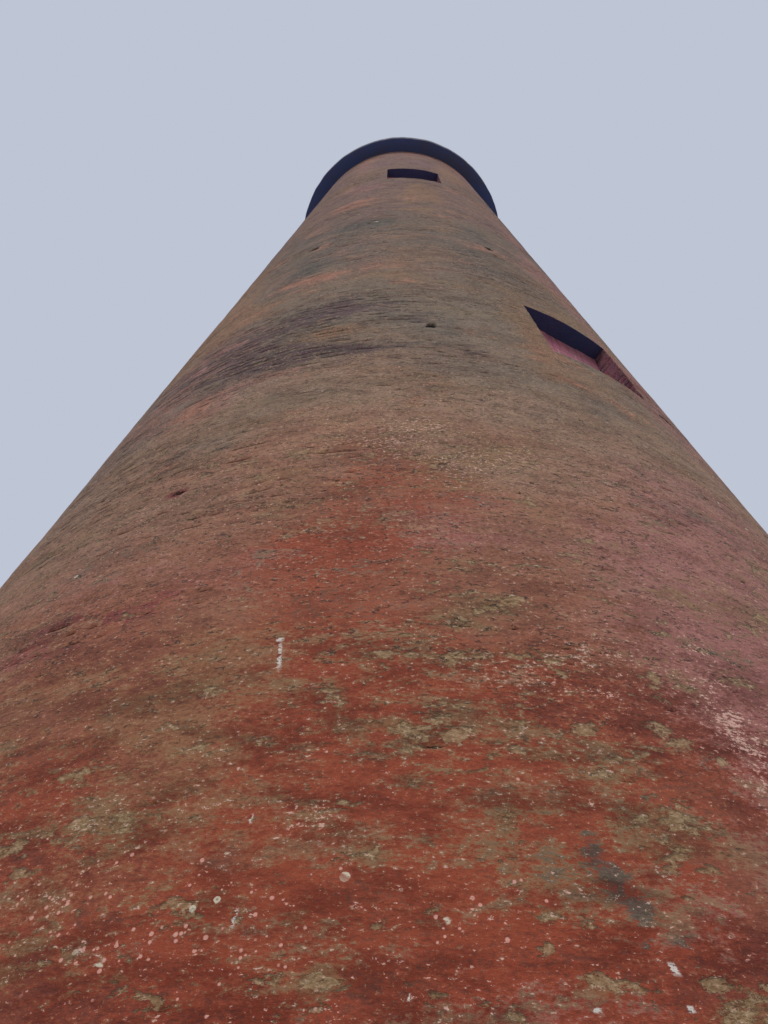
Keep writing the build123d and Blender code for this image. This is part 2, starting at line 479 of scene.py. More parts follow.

# %% [markdown]
# The wall's maps of weather are noise, with soft spots added. The mesh uses them for its relief and
# the finish for its colour, so a flake is sunk just where its colour changes. First comes the noise: each
# kind of weather has patches of its own width and height, in metres.

# %% Noise for flaked paint, stains and lichen
bare_noise = patchwork(11, 0.36, 0.10, 4)
bare_regions = patchwork(12, 1.6, 0.9, 3)
worn_noise = patchwork(13, 0.9, 0.5, 4)
slate_noise = patchwork(14, 0.8, 0.5, 4)
salmon_noise = patchwork(15, 1.1, 0.3, 4)
lichen_noise = patchwork(16, 0.9, 0.8, 3)
ripple_noise = patchwork(17, 0.16, 0.04, 3)
swell_noise = patchwork(18, 1.5, 0.8, 2)
wander_noise = patchwork(19, 1.2, 0.5, 2)
COURSE_STEP = 0.06
brick_noise = patchwork(21, 0.23, COURSE_STEP, 2)
pit_noise = patchwork(22, 0.09, 0.05, 3)
dash_noise = patchwork(23, 0.05, COURSE_STEP, 1)
rose_noise = patchwork(24, 1.8, 1.2, 3)
ochre_noise = patchwork(25, 1.5, 1.0, 3)
vivid_noise = patchwork(26, 1.2, 0.7, 3)
print("noise is ready, with brick and dash noise in steps of", COURSE_STEP, "m to a course")

# %% [markdown]
# These are the places where the photograph shows one stain or bare patch by itself. Noise can't know them,
# and painting them by hand would need an image, so each is an oval with a bearing and a height on the wall.
# Vivid, rose and ochre are coats of paint that show through, and salmon is an undercoat.

# %% Spots of paint and stain, placed one by one
VIVID_SPOTS = [
    (-9, 2.9, 7, 1.2, 0.8), (0, 2.5, 6, 0.6, 0.6), (-9, 4.6, 4, 0.35, 0.5), (6, 2.3, 4, 0.4, 0.4),
    (-3, 4.2, 9, 0.5, 0.3), (-11, 3.88, 4, 0.12, 0.5), (-4, 4.5, 3, 0.3, 0.25),
    (-4.3, 2.44, 0.9, 0.05, 0.6), (-11.4, 2.4, 2.5, 0.15, 0.3), (4.5, 2.44, 1.8, 0.09, 0.6),
]
ROSE_SPOTS = [
    (15, 3.5, 7, 0.8, 0.7), (24, 4.3, 12, 0.9, 0.8), (34, 6.4, 8, 1.0, 1.0), (32, 8.6, 6, 1.6, 0.9),
    (30, 11.2, 7, 1.5, 0.9), (15, 13.5, 6, 0.25, 0.8), (-18, 13.5, 8, 0.5, 0.3), (-24, 15.8, 9, 1.4, 0.7),
    (26, 16.4, 9, 1.2, 0.4), (-28, 16.9, 8, 0.5, 0.8), (-31, 6.8, 9, 0.6, 0.8), (-19, 6.0, 8, 0.2, 0.3),
    (-6, 5.65, 3, 0.30, 0.5), (-26, 5.7, 4, 0.30, 0.5), (-42, 6.6, 9, 0.8, 0.7),
]
OCHRE_SPOTS = [
    (-43, 8.7, 11, 2.4, 1.0), (13.5, 6.9, 2.4, 0.7, 0.9), (18, 6.2, 6, 0.25, 0.5), (19, 15.3, 8, 1.6, 0.7),
    (2, 12.6, 5, 1.2, 0.9), (-2, 16.2, 7, 0.7, 0.4), (-17, 2.9, 4, 0.5, 0.4), (-26, 6.0, 9, 0.3, 0.3),
    (-6, 8.0, 9, 0.3, 0.5), (-37, 3.8, 8, 0.5, 0.7), (-15, 6.6, 5, 0.15, 0.9),
    (-30, 7.9, 9, 0.35, 0.6), (-6, 5.7, 8, 0.3, 0.4), (5.5, 4.1, 3, 0.2, 0.6), (-14, 4.5, 3, 0.3, 0.5),
]
SLATE_SPOTS = [
    (-24, 8.8, 5, 0.5, 0.9), (-14, 10.5, 9, 0.35, 0.85), (13, 10.4, 5, 0.4, 0.8), (14, 8.9, 8, 0.5, 0.5),
    (-1, 6.6, 4, 0.3, 0.45), (5, 11.8, 3, 0.3, 0.6), (19, 5.7, 5, 0.35, 0.5), (-24, 5.1, 6, 0.25, 0.35),
    (-8, 3.7, 3.0, 0.07, 0.7), (2.3, 2.54, 0.5, 0.05, 0.9), (2.9, 2.46, 0.5, 0.05, 0.9),
    (3.5, 2.39, 0.5, 0.04, 0.9), (3.3, 2.31, 0.4, 0.03, 0.8), (0.6, 11.75, 4, 0.35, 0.75),
    (-16, 7.0, 7, 0.45, 0.5), (-8, 7.15, 4, 0.35, 0.6), (-12, 6.2, 8, 0.09, 0.8),
    (5.0, 2.32, 0.7, 0.02, 0.8), (5.4, 2.71, 0.5, 0.02, 0.8), (0, 9.3, 9, 0.9, 0.35),
]
RUBBLE_SPOTS = [
    (-14, 7.1, 10, 0.40, 1.2), (-15, 6.2, 11, 0.13, 1.3), (-29, 6.7, 8, 0.55, 0.9),
    (-1.6, 6.65, 3, 0.2, 0.8), (-43, 6.8, 9, 0.6, 0.8),
    (3.5, 6.15, 2, 0.12, 0.5), (-24, 6.35, 7, 0.2, 0.8),
]
SALMON_SPOTS = [
    (-20, 8.35, 6, 0.14, 1.0), (-23, 9.85, 5, 0.22, 0.9), (14, 9.65, 6, 0.18, 1.0), (-30, 5.8, 5, 0.2, 0.8),
    (-27, 11.1, 6, 0.14, 0.7), (8, 11.1, 6, 0.2, 0.5), (-45, 9.4, 8, 0.5, 0.4), (-20, 12.1, 9, 0.35, 0.8),
    (-18, 6.6, 3, 0.1, 0.7),
]
CRIMSON_SPOTS = [
    (-28, 3.55, 7, 0.14, 0.6), (-21, 3.66, 3, 0.06, 0.8), (-33, 3.45, 5, 0.12, 0.45),
    (-31, 6.7, 7, 0.5, 0.55),
    (34, 6.9, 5, 0.5, 0.6), (-13, 2.4, 3, 0.3, 0.2), (-9, 3.55, 4, 0.04, 0.4),
    (-25, 4.56, 1.2, 0.06, 0.6), (-1.4, 6.62, 1.8, 0.10, 0.5), (-42, 6.9, 8, 0.5, 0.5),
]
print(len(VIVID_SPOTS), "vivid,", len(ROSE_SPOTS), "rose and", len(OCHRE_SPOTS), "ochre spots")

# %% [markdown]
# The same kind of oval says where the coat is worn or bare, and where lichen and salt sit on it. Two of the
# bare spots have a strength under nought: they keep flakes away from a sound part of the coat. A hole has
# no strength, because it goes right in.

# %% Spots of wear, lichen and salt, and the holes
WORN_SPOTS = [
    (-33, 4.5, 14, 0.4, 0.4), (-40, 5.6, 12, 0.8, 0.4), (-20, 6.8, 14, 0.6, 0.6), (-27, 3.56, 9, 0.18, 0.9),
    (-14, 6.1, 10, 0.25, 0.4), (30, 6.2, 9, 0.7, 0.3),
]
LICHEN_SPOTS = [
    (-12.5, 2.24, 3.5, 0.12, 0.7), (-8.9, 2.42, 3, 0.05, 0.8), (-18.5, 2.38, 4, 0.14, 1.0),
    (-14, 2.38, 7, 0.22, 0.35),
    (-3, 2.33, 3, 0.10, 0.5), (-17, 2.36, 3, 0.1, 0.4),
]
SALT_SPOTS = [
    (12.3, 3.15, 1.4, 0.34, 1.6), (12.9, 2.85, 2.2, 0.2, 1.2), (4, 3.2, 5, 0.2, 0.9), (4, 3.68, 3, 0.08, 1.2),
    (-4, 4.85, 5, 0.3, 0.5), (1, 4.45, 4, 0.15, 0.5), (9, 4.6, 6, 0.3, 0.5), (0, 5.0, 12, 0.7, 0.15),
    (-9, 2.62, 1.5, 0.06, 1.0), (-18, 2.6, 5, 0.25, 0.4),
]
BARE_SPOTS = [
    (-8.1, 2.21, 0.9, 0.032, 1.1), (-9.2, 2.35, 0.4, 0.016, 1.0), (-10.0, 2.42, 0.4, 0.015, 1.0),
    (-9.3, 2.61, 0.8, 0.045, 0.6), (-6.6, 2.51, 0.5, 0.03, 0.8), (-7.9, 2.57, 0.7, 0.018, 0.7),
    (-17.4, 2.68, 3.5, 0.11, 0.5), (-1.1, 3.40, 2.8, 0.13, 0.4), (4.9, 2.67, 2.8, 0.14, 0.5),
    (-4.3, 2.88, 2.2, 0.11, 0.4), (-3.2, 2.69, 1.2, 0.05, 0.6), (-4.8, 2.72, 0.6, 0.035, 0.7),
    (-1.1, 2.61, 0.6, 0.05, 0.7), (-0.1, 2.36, 0.5, 0.022, 0.9), (-0.4, 2.29, 0.6, 0.03, 0.8),
    (1.3, 2.22, 1.0, 0.028, 1.0), (6.3, 2.17, 2.6, 0.09, 1.0), (-19.3, 2.31, 1.4, 0.1, 0.4),
    (-14, 2.42, 6, 0.20, -0.16), (-14, 3.25, 6, 0.25, -0.06),
]
HOLES = [
    (-1.4, 6.62, 0.5, 0.04), (-26, 9.85, 1.0, 0.035), (15, 9.75, 1.4, 0.035), (34, 6.4, 1.4, 0.04),
    (-25, 4.55, 0.4, 0.018),
]
print(len(BARE_SPOTS), "bare or sound spots and", len(HOLES), "holes")

# %% [markdown]
# Each map adds its noise to its spots. The coat is soundest near the ground, so wear, slate and salmon give
# way there, while flakes and the strong red grow.

# %% Add up the maps of weather
LOW_WALL = (2.2, 5.5)


def weather_maps(bearing, height):
    """Every map of the wall's weather at these points."""
    at = (bearing, height)
    low_wall = 1 - ease(height, *LOW_WALL)
    bare = 0.30 + 0.36 * bare_noise(*at) * (0.3 + 0.7 * low_wall) + 0.20 * bare_regions(*at)
    worn = 0.30 + 0.40 * worn_noise(*at) + spots(*at, WORN_SPOTS)
    return {
        "worn": np.clip(worn - 0.35 * low_wall, 0, 1),
        "bare": bare + spots(*at, BARE_SPOTS),
        "slate": 0.06 + 0.28 * slate_noise(*at) + spots(*at, SLATE_SPOTS) - 0.3 * low_wall,
        "rubble": spots(*at, RUBBLE_SPOTS),
        "salmon": 0.10 + 0.32 * salmon_noise(*at) + spots(*at, SALMON_SPOTS) - 0.4 * low_wall,
        "crimson": spots(*at, CRIMSON_SPOTS),
        "rose": 0.20 + 0.34 * rose_noise(*at) + spots(*at, ROSE_SPOTS),
        "ochre": 0.24 + 0.40 * ochre_noise(*at) + spots(*at, OCHRE_SPOTS),
        "vivid": (0.5 + 0.5 * vivid_noise(*at)) * low_wall + spots(*at, VIVID_SPOTS),
        "lichen": np.clip(0.14 * lichen_noise(*at) + spots(*at, LICHEN_SPOTS), 0, 1),
        "salt": 0.08 + 0.20 * lichen_noise(bearing + 40.0, height) + spots(*at, SALT_SPOTS),
        "sheltered": np.zeros(np.shape(height)),
    }


sample = weather_maps(np.linspace(-60, 50, 400)[None, :], np.linspace(2.2, 17, 500)[:, None])
for name in ("worn", "bare", "vivid"):
    print(name, "covers", round(100 * float((sample[name] > 0.5).mean())), "per cent of the front")

# %% [markdown]
# The relief is a depth, always inwards, so that the dressed tower stays inside its CAD box.
# Old coats of limewash round over the courses, so the grooves only open where the coat has worn. Where a
# flake has fallen the face is a few millimetres lower, and a few holes go right into the brick.

# %% Work out the relief of the wall
GROOVE_DEPTH = 0.010
COAT_DEPTH = 0.0035
HOLE_DEPTH = 0.06
SWELL_DEPTH = 0.004
RIPPLE_DEPTH = 0.0012
BRICK_DEPTH = 0.0022
PIT_DEPTH = 0.005
WANDER = 0.008
A_HAIR = 1e-6


def joint_at(level):
    """One in the middle of a mortar joint, nought on the face of a brick."""
    part = np.mod(level - LOWER_SILL + A_HAIR, COURSE)
    return np.clip(1 - np.abs(part - JOINT / 2) / (JOINT / 2 + 0.0005), 0, 1)


def course_number(level):
    """The number of the course at a level, counted so that the lowest is still above nought."""
    return np.floor((level - LOWER_SILL) / COURSE + A_HAIR) + 100.0


def relief(bearing, level, height, maps):
    """How far the face lies behind the CAD face; it also notes where a joint has lost its mortar."""
    course = COURSE_STEP * course_number(level)
    wear = 0.60 * maps["worn"] + 0.40 * maps["rubble"] + 0.80 * dash_noise(bearing, course)
    maps["open"] = ease(wear, 0.72, 0.94) * joint_at(level)
    depth = SWELL_DEPTH * (1 + 0.7 * swell_noise(bearing, height))
    depth = depth + RIPPLE_DEPTH * (1 + ripple_noise(bearing, height))
    depth = depth + GROOVE_DEPTH * maps["open"]
    depth = depth + BRICK_DEPTH * maps["worn"] * (1 + brick_noise(bearing, course))
    depth = depth + PIT_DEPTH * ease(maps["worn"] + 0.4 * pit_noise(bearing, height), 0.6, 1.1)
    depth = depth + COAT_DEPTH * ease(maps["bare"], 0.80, 0.88)
    for centre, middle, wide, tall in HOLES:
        turn = turn_between(bearing, centre)
        hole = 1 - ease(np.sqrt((turn / wide) ** 2 + ((height - middle) / tall) ** 2), 0.75, 1.15)
        depth = depth + HOLE_DEPTH * hole
        maps["open"] = np.maximum(maps["open"], 6 * hole)
    return np.maximum(depth, 0.0)


SEAMS = [0.0, DOOR_COURSE, LOWER_SILL, LOWER_HEAD, UPPER_SILL, UPPER_HEAD, SHAFT_TOP]


def settled(bearing, level):
    """Heights of the points: courses wander up and down a little, but not where two pieces meet."""
    room = np.min([np.abs(level - seam) for seam in SEAMS], axis=0)
    return level + WANDER * wander_noise(bearing, level) * ease(room, 0.0, 0.4)


deepest = GROOVE_DEPTH + COAT_DEPTH + 2 * SWELL_DEPTH
print("the relief goes in by about", round(1000 * deepest, 1), "mm")
print("a hole goes in by", round(1000 * HOLE_DEPTH), "mm")

# %% [markdown]
# A piece of wall is a closed block: a finely gridded outer face, a plain inner face, and strips that join
# them. Its two ends either follow a radius of the tower, or are the square side of an opening, which keeps
# its distance from the middle of that opening all the way up. A small class takes care of both kinds.

# %% A helper for the ends of a piece of wall


class End:
    """One end of a piece of wall: on a bearing, or a set distance to one side of it."""

    def __init__(self, bearing, side=0, half_width=None, corner=None):
        self.bearing, self.side, self.half_width, self.corner = bearing, side, half_width, corner

    def at(self, radius, level):
        """Bearing of this end, at this distance from the axis."""
        if self.half_width is None:
            return np.full(np.shape(level), float(self.bearing))
        reach = np.clip(self.half_width(level) / radius, -1, 1)
        return self.bearing + self.side * np.degrees(np.arcsin(reach))


def placed(bearing, radius, height):
    """Points from bearing, radius and height."""
    turn = np.radians(bearing)
    return np.stack([radius * np.sin(turn), -radius * np.cos(turn), height + 0 * radius], axis=-1)


print("bearing 90 at 3 m is the place", [round(float(part), 1) for part in placed(90.0, 3.0, 0.0)])

# %% [markdown]
# A modifier would be slow with this many points, so the grids are worked out as arrays of numbers.
# The shell gathers them, gives each point its maps of weather, and hands everything to Blender at once.

# %% A helper that turns grids of points into a mesh


class Shell:
    """Points and faces, added one grid at a time."""

    def __init__(self):
        self.points, self.faces, self.maps, self.count = [], [], {}, 0

    def grid(self, points, maps, flip=False):
        """Add rows and columns of points, with their maps; flip turns the faces over."""
        rows, columns = points.shape[:2]
        index = np.arange(rows * columns).reshape(rows, columns) + self.count
        corners = [index[:-1, :-1], index[:-1, 1:], index[1:, 1:], index[1:, :-1]]
        quads = np.stack(corners[::-1] if flip else corners, axis=-1).reshape(-1, 4)
        self.points.append(points.reshape(-1, 3))
        self.faces.append(quads)
        for name, values in maps.items():
            self.maps.setdefault(name, []).append(np.broadcast_to(values, (rows, columns)).reshape(-1))
        self.count += rows * columns

    def object(self, name, material):
        """Make the mesh, and put it in the scene."""
        mesh = bpy.data.meshes.new(name)
        points = np.concatenate(self.points)
        quads = np.concatenate(self.faces)
        mesh.vertices.add(len(points))
        mesh.vertices.foreach_set("co", points.astype(np.float32).ravel())
        mesh.loops.add(quads.size)
        mesh.loops.foreach_set("vertex_index", quads.astype(np.int32).ravel())
        mesh.polygons.add(len(quads))
        mesh.polygons.foreach_set("loop_start", np.arange(0, quads.size, 4, dtype=np.int32))
        mesh.update(calc_edges=True)
        for field, values in self.maps.items():
            layer = mesh.attributes.new(field, "FLOAT", "POINT")
            layer.data.foreach_set("value", np.concatenate(values).astype(np.float32))
        mesh.shade_smooth()
        mesh.materials.append(material)
        piece = bpy.data.objects.new(name, mesh)
        bpy.context.scene.collection.objects.link(piece)
        return piece


print("a shell is ready for grids:", Shell().count, "points")

# %% [markdown]
# Where a piece of wall ends at an opening, its end is the side of that opening. It gets a grid of its own,
# because the brick courses show there too. Any other end meets a neighbour and stays plain.

# %% A helper that closes the end of a piece of wall
JAMB_DEPTHS = (0.012, 0.03, 0.06, 0.1, 0.16)


def on_inner_face(inner_edge, heights):
    """Points up the inner edge at these heights; a ledge there has two points at one height."""
    levels = inner_edge[:, 2] + np.arange(len(inner_edge)) * A_HAIR
    across = np.interp(heights, levels, np.arange(len(inner_edge)))
    below = np.floor(across).astype(int).clip(0, len(inner_edge) - 2)
    part = (across - below)[:, None]
    points = inner_edge[below] * (1 - part) + inner_edge[below + 1] * part
    points[:, 2] = heights
    return points


def close_end(shell, end, outer_edge, inner_edge, rows, maps, flip):
    """Close one end, with brick courses where it is the side of an opening."""
    far = on_inner_face(inner_edge, outer_edge[:, 2])
    depths = JAMB_DEPTHS if end.half_width else ()
    inwards = (far - outer_edge) / np.linalg.norm(far - outer_edge, axis=1, keepdims=True)
    face = np.stack([outer_edge] + [outer_edge + inwards * depth for depth in depths] + [far], axis=1)
    edge_maps = {name: values[:, None] for name, values in maps.items()}
    if end.half_width:
        turn = math.radians(end.bearing)
        aside = end.side * np.array([math.cos(turn), math.sin(turn), 0.0])
        across_jamb = np.array([0.0] + [1.0] * len(JAMB_DEPTHS) + [0.0])
        lost = dash_noise(np.full(rows.shape, 7.0 * end.bearing), COURSE_STEP * course_number(rows))
        open_joint = joint_at(rows) * ease(lost, -0.9, 0.3)
        edge_maps["open"] = open_joint[:, None] * across_jamb[None, :]
        edge_maps["sheltered"] = np.minimum(1.0, across_jamb + 0.2)[None, :] + 0 * edge_maps["open"]
        face = face + (0.5 * GROOVE_DEPTH * edge_maps["open"])[:, :, None] * aside
    shell.grid(face, edge_maps, flip=flip)


print("sides of openings are gridded to", JAMB_DEPTHS[-1], "m behind the face")

# %% [markdown]
# Now a whole piece of wall can be put together. Its outer face carries the relief, and its inner face is
# plain, since it shows only through the doorway.

# %% A helper that builds one piece of the wall


def wall_shell(start, end, low, high, inner_rows):
    """The grids of one piece of wall; inner_rows are levels and radii of its inner face, upwards."""
    rows = course_rows(low, high)
    for corner in (start.corner, end.corner):
        if corner:
            rows = np.sort(np.append(rows[np.abs(rows - corner) > ROW_GAP], corner))
    columns = columns_between(start.bearing, end.bearing)
    share = (columns - start.bearing) / (end.bearing - start.bearing)
    first, last = start.at(radius_at(rows), rows), end.at(radius_at(rows), rows)
    bearing = first[:, None] + share[None, :] * (last - first)[:, None]
    level = np.repeat(rows[:, None], len(columns), axis=1)
    height = settled(bearing, level)
    maps = weather_maps(bearing, height)
    outer = placed(bearing, radius_at(height) - relief(bearing, level, height, maps), height)
    maps["level"] = level
    shell = Shell()
    shell.grid(outer, maps)
    plain = {name: 1.0 if name == "sheltered" else 0.0 for name in maps}
    inner = []
    for inner_level, radius in inner_rows:
        ends = [float(one.at(radius, np.array(inner_level))) for one in (start, end)]
        inner.append(placed(ends[0] + share * (ends[1] - ends[0]), np.full(len(share), radius), inner_level))
    inner = np.array(inner)
    shell.grid(inner, plain, flip=True)
    shell.grid(np.stack([outer[0], inner[0]]), plain, flip=True)
    shell.grid(np.stack([outer[-1], inner[-1]]), plain)
    for one, column in ((start, 0), (end, -1)):
        edge_maps = {name: values[:, column] for name, values in maps.items()}
        close_end(shell, one, outer[:, column], inner[:, column], rows, edge_maps, flip=column == 0)
    return shell


trial = wall_shell(End(0.0), End(10.0), 0.0, 1.0, [(0.0, 3.0), (1.0, 3.0)])
print("a trial piece of wall, 1 m high, has", trial.count, "points")

# %% [markdown]
# The wall's finish is many thin coats of red limewash over brick, weathered from above.
# The ground colour runs from a strong red near the ground, where the coat is fresh, through tan to a dusty
# pink under the slab. Over it come the older coats and stains that show through, the tone of each brick,
# rubbed dirt, fallen flakes with painted shadow under their upper edges, open joints and hairline cracks with
# painted shadow under small ledges, then grit, scratches, salt and lichen, and at last painted shade on the
# undersides of the openings and in the holes. The first step is a list of all the colours.

# %% Colours of the wall
RED_COAT = shade(124, 61, 46)
RUST_COAT = shade(141, 89, 68)
BROWN_COAT = shade(152, 108, 86)
TAN_COAT = shade(146, 116, 96)
OLIVE_COAT = shade(122, 106, 90)
STRAW_COAT = shade(122, 102, 84)
GREY_COAT = shade(108, 92, 80)
MAUVE_COAT = shade(114, 87, 79)
PINK_COAT = shade(123, 91, 90)
VIVID_COAT = shade(146, 66, 42)
ROSE_COAT = shade(158, 106, 102)
OCHRE_COAT = shade(140, 102, 72)
SALMON_COAT = shade(168, 114, 92)
CRIMSON_COAT = shade(132, 60, 60)
SLATE_STAIN = shade(72, 74, 68)
KHAKI_RENDER = shade(128, 104, 72)
PLUM_BRICK = shade(84, 62, 72)
DARK_BRICK = shade(42, 40, 46)
DULL_BRICK = shade(134, 106, 90)
WINE_BRICK = shade(104, 66, 70)
PALE_RENDER = shade(168, 144, 112)
JAMB_MAUVE = shade(106, 72, 90)
JAMB_CRIMSON = shade(134, 74, 96)
INFILL_CRIMSON = shade(170, 96, 112)
# A dark for dirt, which on the wall also paints the shadow under flakes and small ledges.
DIRT_AND_SHADOW = shade(44, 30, 26)
HOLE_SHADE = shade(24, 18, 18)
# Painted shade for the undersides of the openings, which face down.
UNDERSIDE_SHADE = shade(42, 56, 96)
PINK_LICHEN = shade(208, 152, 138)
PALE_LICHEN = shade(208, 200, 178)
SALT = shade(216, 174, 160)
WHITE_LIME = shade(210, 204, 196)

BAND_STOPS = [
    (0.00, RED_COAT), (0.14, RED_COAT), (0.19, RUST_COAT), (0.245, BROWN_COAT), (0.30, TAN_COAT),
    (0.36, OLIVE_COAT), (0.42, OLIVE_COAT), (0.455, STRAW_COAT), (0.52, GREY_COAT), (0.60, GREY_COAT),
    (0.66, MAUVE_COAT), (0.82, MAUVE_COAT), (0.92, PINK_COAT),
]
print(len(BAND_STOPS), "bands of colour from the foot to the slab")

# %% [markdown]
# Each stain takes its place from the mesh's map and its ragged edge from fine noise, because a map alone
# would look soft. The rough patch of rubble is mixed from five tones of old brick.

# %% Lay the wall's coats and stains
STAINS = [
    ("vivid", (0.40, 0.95), 0.85, VIVID_COAT), ("rose", (0.35, 0.95), 0.75, ROSE_COAT),
    ("ochre", (0.35, 0.95), 0.75, OCHRE_COAT), ("bare", (0.40, 0.85), 0.60, KHAKI_RENDER),
    ("slate", (0.35, 0.85), 0.75, SLATE_STAIN), ("salmon", (0.45, 0.85), 0.80, SALMON_COAT),
]
RUBBLE_STOPS = [
    (0.0, DARK_BRICK), (0.3, PLUM_BRICK), (0.45, WINE_BRICK), (0.62, SLATE_STAIN), (0.85, DULL_BRICK),
]


def stained(wall, colour, tone, middle, brush, grain):
    """Every stain where its map says, with an edge that fine noise has broken up."""
    edge = wall.between(middle, 0.3, 0.7, -0.4, 0.4) + wall.between(brush, 0.33, 0.67, -0.3, 0.3)
    edge = edge + wall.between(grain, 0.33, 0.67, -0.25, 0.25)
    for name, limits, strength, stain in STAINS:
        reach = wall.between(wall.field(name) + edge, *limits, 0, strength)
        colour = wall.layer(reach, colour, stain)
    by_brick = edge + wall.between(tone, 0, 1, -0.35, 0.35)
    mixed = tone * 0.5 + wall.between(brush, 0.38, 0.62, 0, 0.5)
    rubble = wall.ramp(mixed, RUBBLE_STOPS)
    for name, strength, stain in (("crimson", 0.75, CRIMSON_COAT), ("rubble", 0.90, rubble)):
        reach = wall.between(wall.field(name) + by_brick, 0.62, 0.74, 0, strength)
        reach = reach * wall.between(wall.field(name), 0.03, 0.3)
        colour = wall.layer(reach, colour, stain)
    return colour


print(len(STAINS) + 2, "kinds of stain")

# %% [markdown]
# Under the coat every brick has a tone of its own. The nodes count bricks along a course, and draw a random
# value for each. The courses get shorter as the wall leans in, so they hold fewer and fewer bricks. An odd
# number for each row keeps two rows from drawing the same values.

# %% Give each brick its tone
BRICK_LENGTH = 0.235
ROW_APART = 57.3


def brick_tone(wall, x, y):
    """A random value for each brick, which shows through the coat."""
    above_sill = wall.field("level") - LOWER_SILL
    course = wall.math("FLOOR", above_sill / COURSE)
    turn = wall.math("ARCTAN2", x, y * -1.0)
    radius = radius_at(LOWER_SILL) - course * (BATTER * COURSE)
    count = wall.math("ROUND", radius * (2 * math.pi) / BRICK_LENGTH)
    place = turn / (2 * math.pi) * count + course * 0.5
    return wall.chance(wall.math("FLOOR", place) + course * ROW_APART)


print("the lowest course has", round(2 * math.pi * FOOT_RADIUS / BRICK_LENGTH), "bricks")

# %% [markdown]
# Three kinds of small damage are noise too. Cracks are thin lines where noise passes its middle value, and
# their dark includes painted shadow under small ledges of the coat. A flake is where noise is high, and the
# same noise read 6 mm higher up gives the painted shadow under its upper edge.
# Spots are random cells, each with its own size.

# %% Draw cracks, fallen flakes and round spots


def hairline_cracks_and_shadow(wall, worn, brush, z):
    """Thin ragged cracks that run with the courses, with painted shadow under small ledges, from 0 to 1."""
    lines = wall.noise(10.0, 4.0, 0.62, at=wall.scaled(wall.place, (1.0, 1.0, 2.6)))
    thin = wall.between(abs(lines - 0.5), 0.028, 0.011)
    thin = thin * wall.between(z, 2.4, 3.4, 0.35, 1.0)
    return thin * wall.between(brush + worn * 0.1, 0.515, 0.555)


def fallen_flakes(wall, bare):
    """Patches where the coat has come off, and the shadow under the edge above them."""
    lean = (bare - 0.5) * 0.16
    grain = (1.0, 1.0, 1.9)
    here = wall.noise(7.0, 6.0, 0.70, at=wall.scaled(wall.place, grain))
    parts = zip(wall.split(wall.place), (0, 0, 0.006))
    raised = wall.joined(*[part + lift for part, lift in parts])
    above = wall.noise(7.0, 6.0, 0.70, at=wall.scaled(raised, grain))
    flake = wall.between(here + lean, 0.575, 0.6)
    flake_above = wall.between(above + lean, 0.575, 0.6)
    lip_shadow = flake * (1.0 - flake_above)
    return flake, lip_shadow


def spotted(wall, size, share, reach, growth, brush):
    """Round spots of mixed sizes, from 0 to 1; growth is the map that says how many there are."""
    away, pick, swell = wall.cells(size)
    chosen = wall.between(pick + growth * share, 1.0, 1.03)
    away = away / wall.between(swell, 0, 1, 0.45, 1.35)
    ragged = away + wall.between(brush, 0.3, 0.7, -0.06, 0.06)
    return chosen * wall.between(ragged, reach, reach * 0.6), ragged, chosen


print("cracks, flakes and spots are ready")

# %% [markdown]
# A few thin scratches and dabs of white are too narrow for the mesh's maps, whose points lie 2 cm apart.
# Each is drawn in the nodes instead, from how far a point lies from the middle of its stroke.

# %% Scratch the wall with white
SCRATCHES = [
    (-0.727, 3.225, -0.094, 0.007, 0.085), (-0.735, 3.300, 0.0, 0.014, 0.012),
    (-0.719, 2.35, 0.08, 0.004, 0.030), (-0.722, 2.61, 0.0, 0.004, 0.018),
    (-0.322, 2.18, 0.0, 0.003, 0.010), (0.262, 2.262, -0.35, 0.011, 0.018),
    (0.272, 2.182, 0.0, 0.011, 0.009), (0.068, 2.168, 0.0, 0.009, 0.007),
]


def scratched(wall, x, y, z, grain):
    """White strokes on the front of the wall: place, height, lean, half-width and half-length of each."""
    strokes = 0.0
    x = x + wall.between(grain, 0.35, 0.65, -0.005, 0.005)
    for middle, level, lean, wide, tall in SCRATCHES:
        line = z * lean + (middle - lean * level)
        across = wall.between(abs(x - line), wide, 0.5 * wide)
        along = wall.between(abs(z - level), tall, 0.4 * tall)
        stroke = across * along
        strokes = wall.math("MAXIMUM", strokes, stroke)
    strokes = strokes * wall.between(y, 0.0, -0.5)
    return strokes * wall.between(grain, 0.4, 0.5)


print(len(SCRATCHES), "strokes of white")

# %% [markdown]
# Salt comes out of the wall in pale flecks, and lichen grows on it in small pink crusts and larger pale discs
# with a brown middle. Both crowd together in some places, and the mesh's maps say where they like to be.

# %% Grow salt and lichen on the wall


def overgrown(wall, colour, middle, brush, grain):
    """The colour with flecks of salt, crusts and discs over it."""
    crowd = wall.between(middle, 0.44, 0.60, 0.2, 1.5)
    crowded = wall.field("salt") * (crowd * 0.06)
    flecks = wall.between(grain + crowded, 0.635, 0.67)
    colour = wall.layer(flecks * 0.75, colour, SALT)
    lichen = wall.field("lichen") * crowd
    crusts = spotted(wall, 58.0, 0.55, 0.30, lichen, brush)[0]
    colour = wall.layer(crusts * 0.85, colour, PINK_LICHEN)
    away, chosen = spotted(wall, 17.0, 0.26, 0.24, lichen, brush)[1:]
    for rim, inside, tone_of_disc in ((0.24, 0.20, PALE_LICHEN), (0.12, 0.07, KHAKI_RENDER)):
        disc = chosen * wall.between(away, rim, inside, 0, 0.75)
        colour = wall.layer(disc, colour, tone_of_disc)
    return colour


print("pink crusts, pale discs and flecks of salt are ready")

# %% [markdown]
# Now the layers go over each other, from the oldest to the newest. The bump at the end is only the fine
# surface of the coat, because the larger relief is in the mesh.

# %% Build the wall's finish
BRICK_SHADOW = shade(170, 156, 160)
COAT_SHADOW = shade(200, 180, 176)


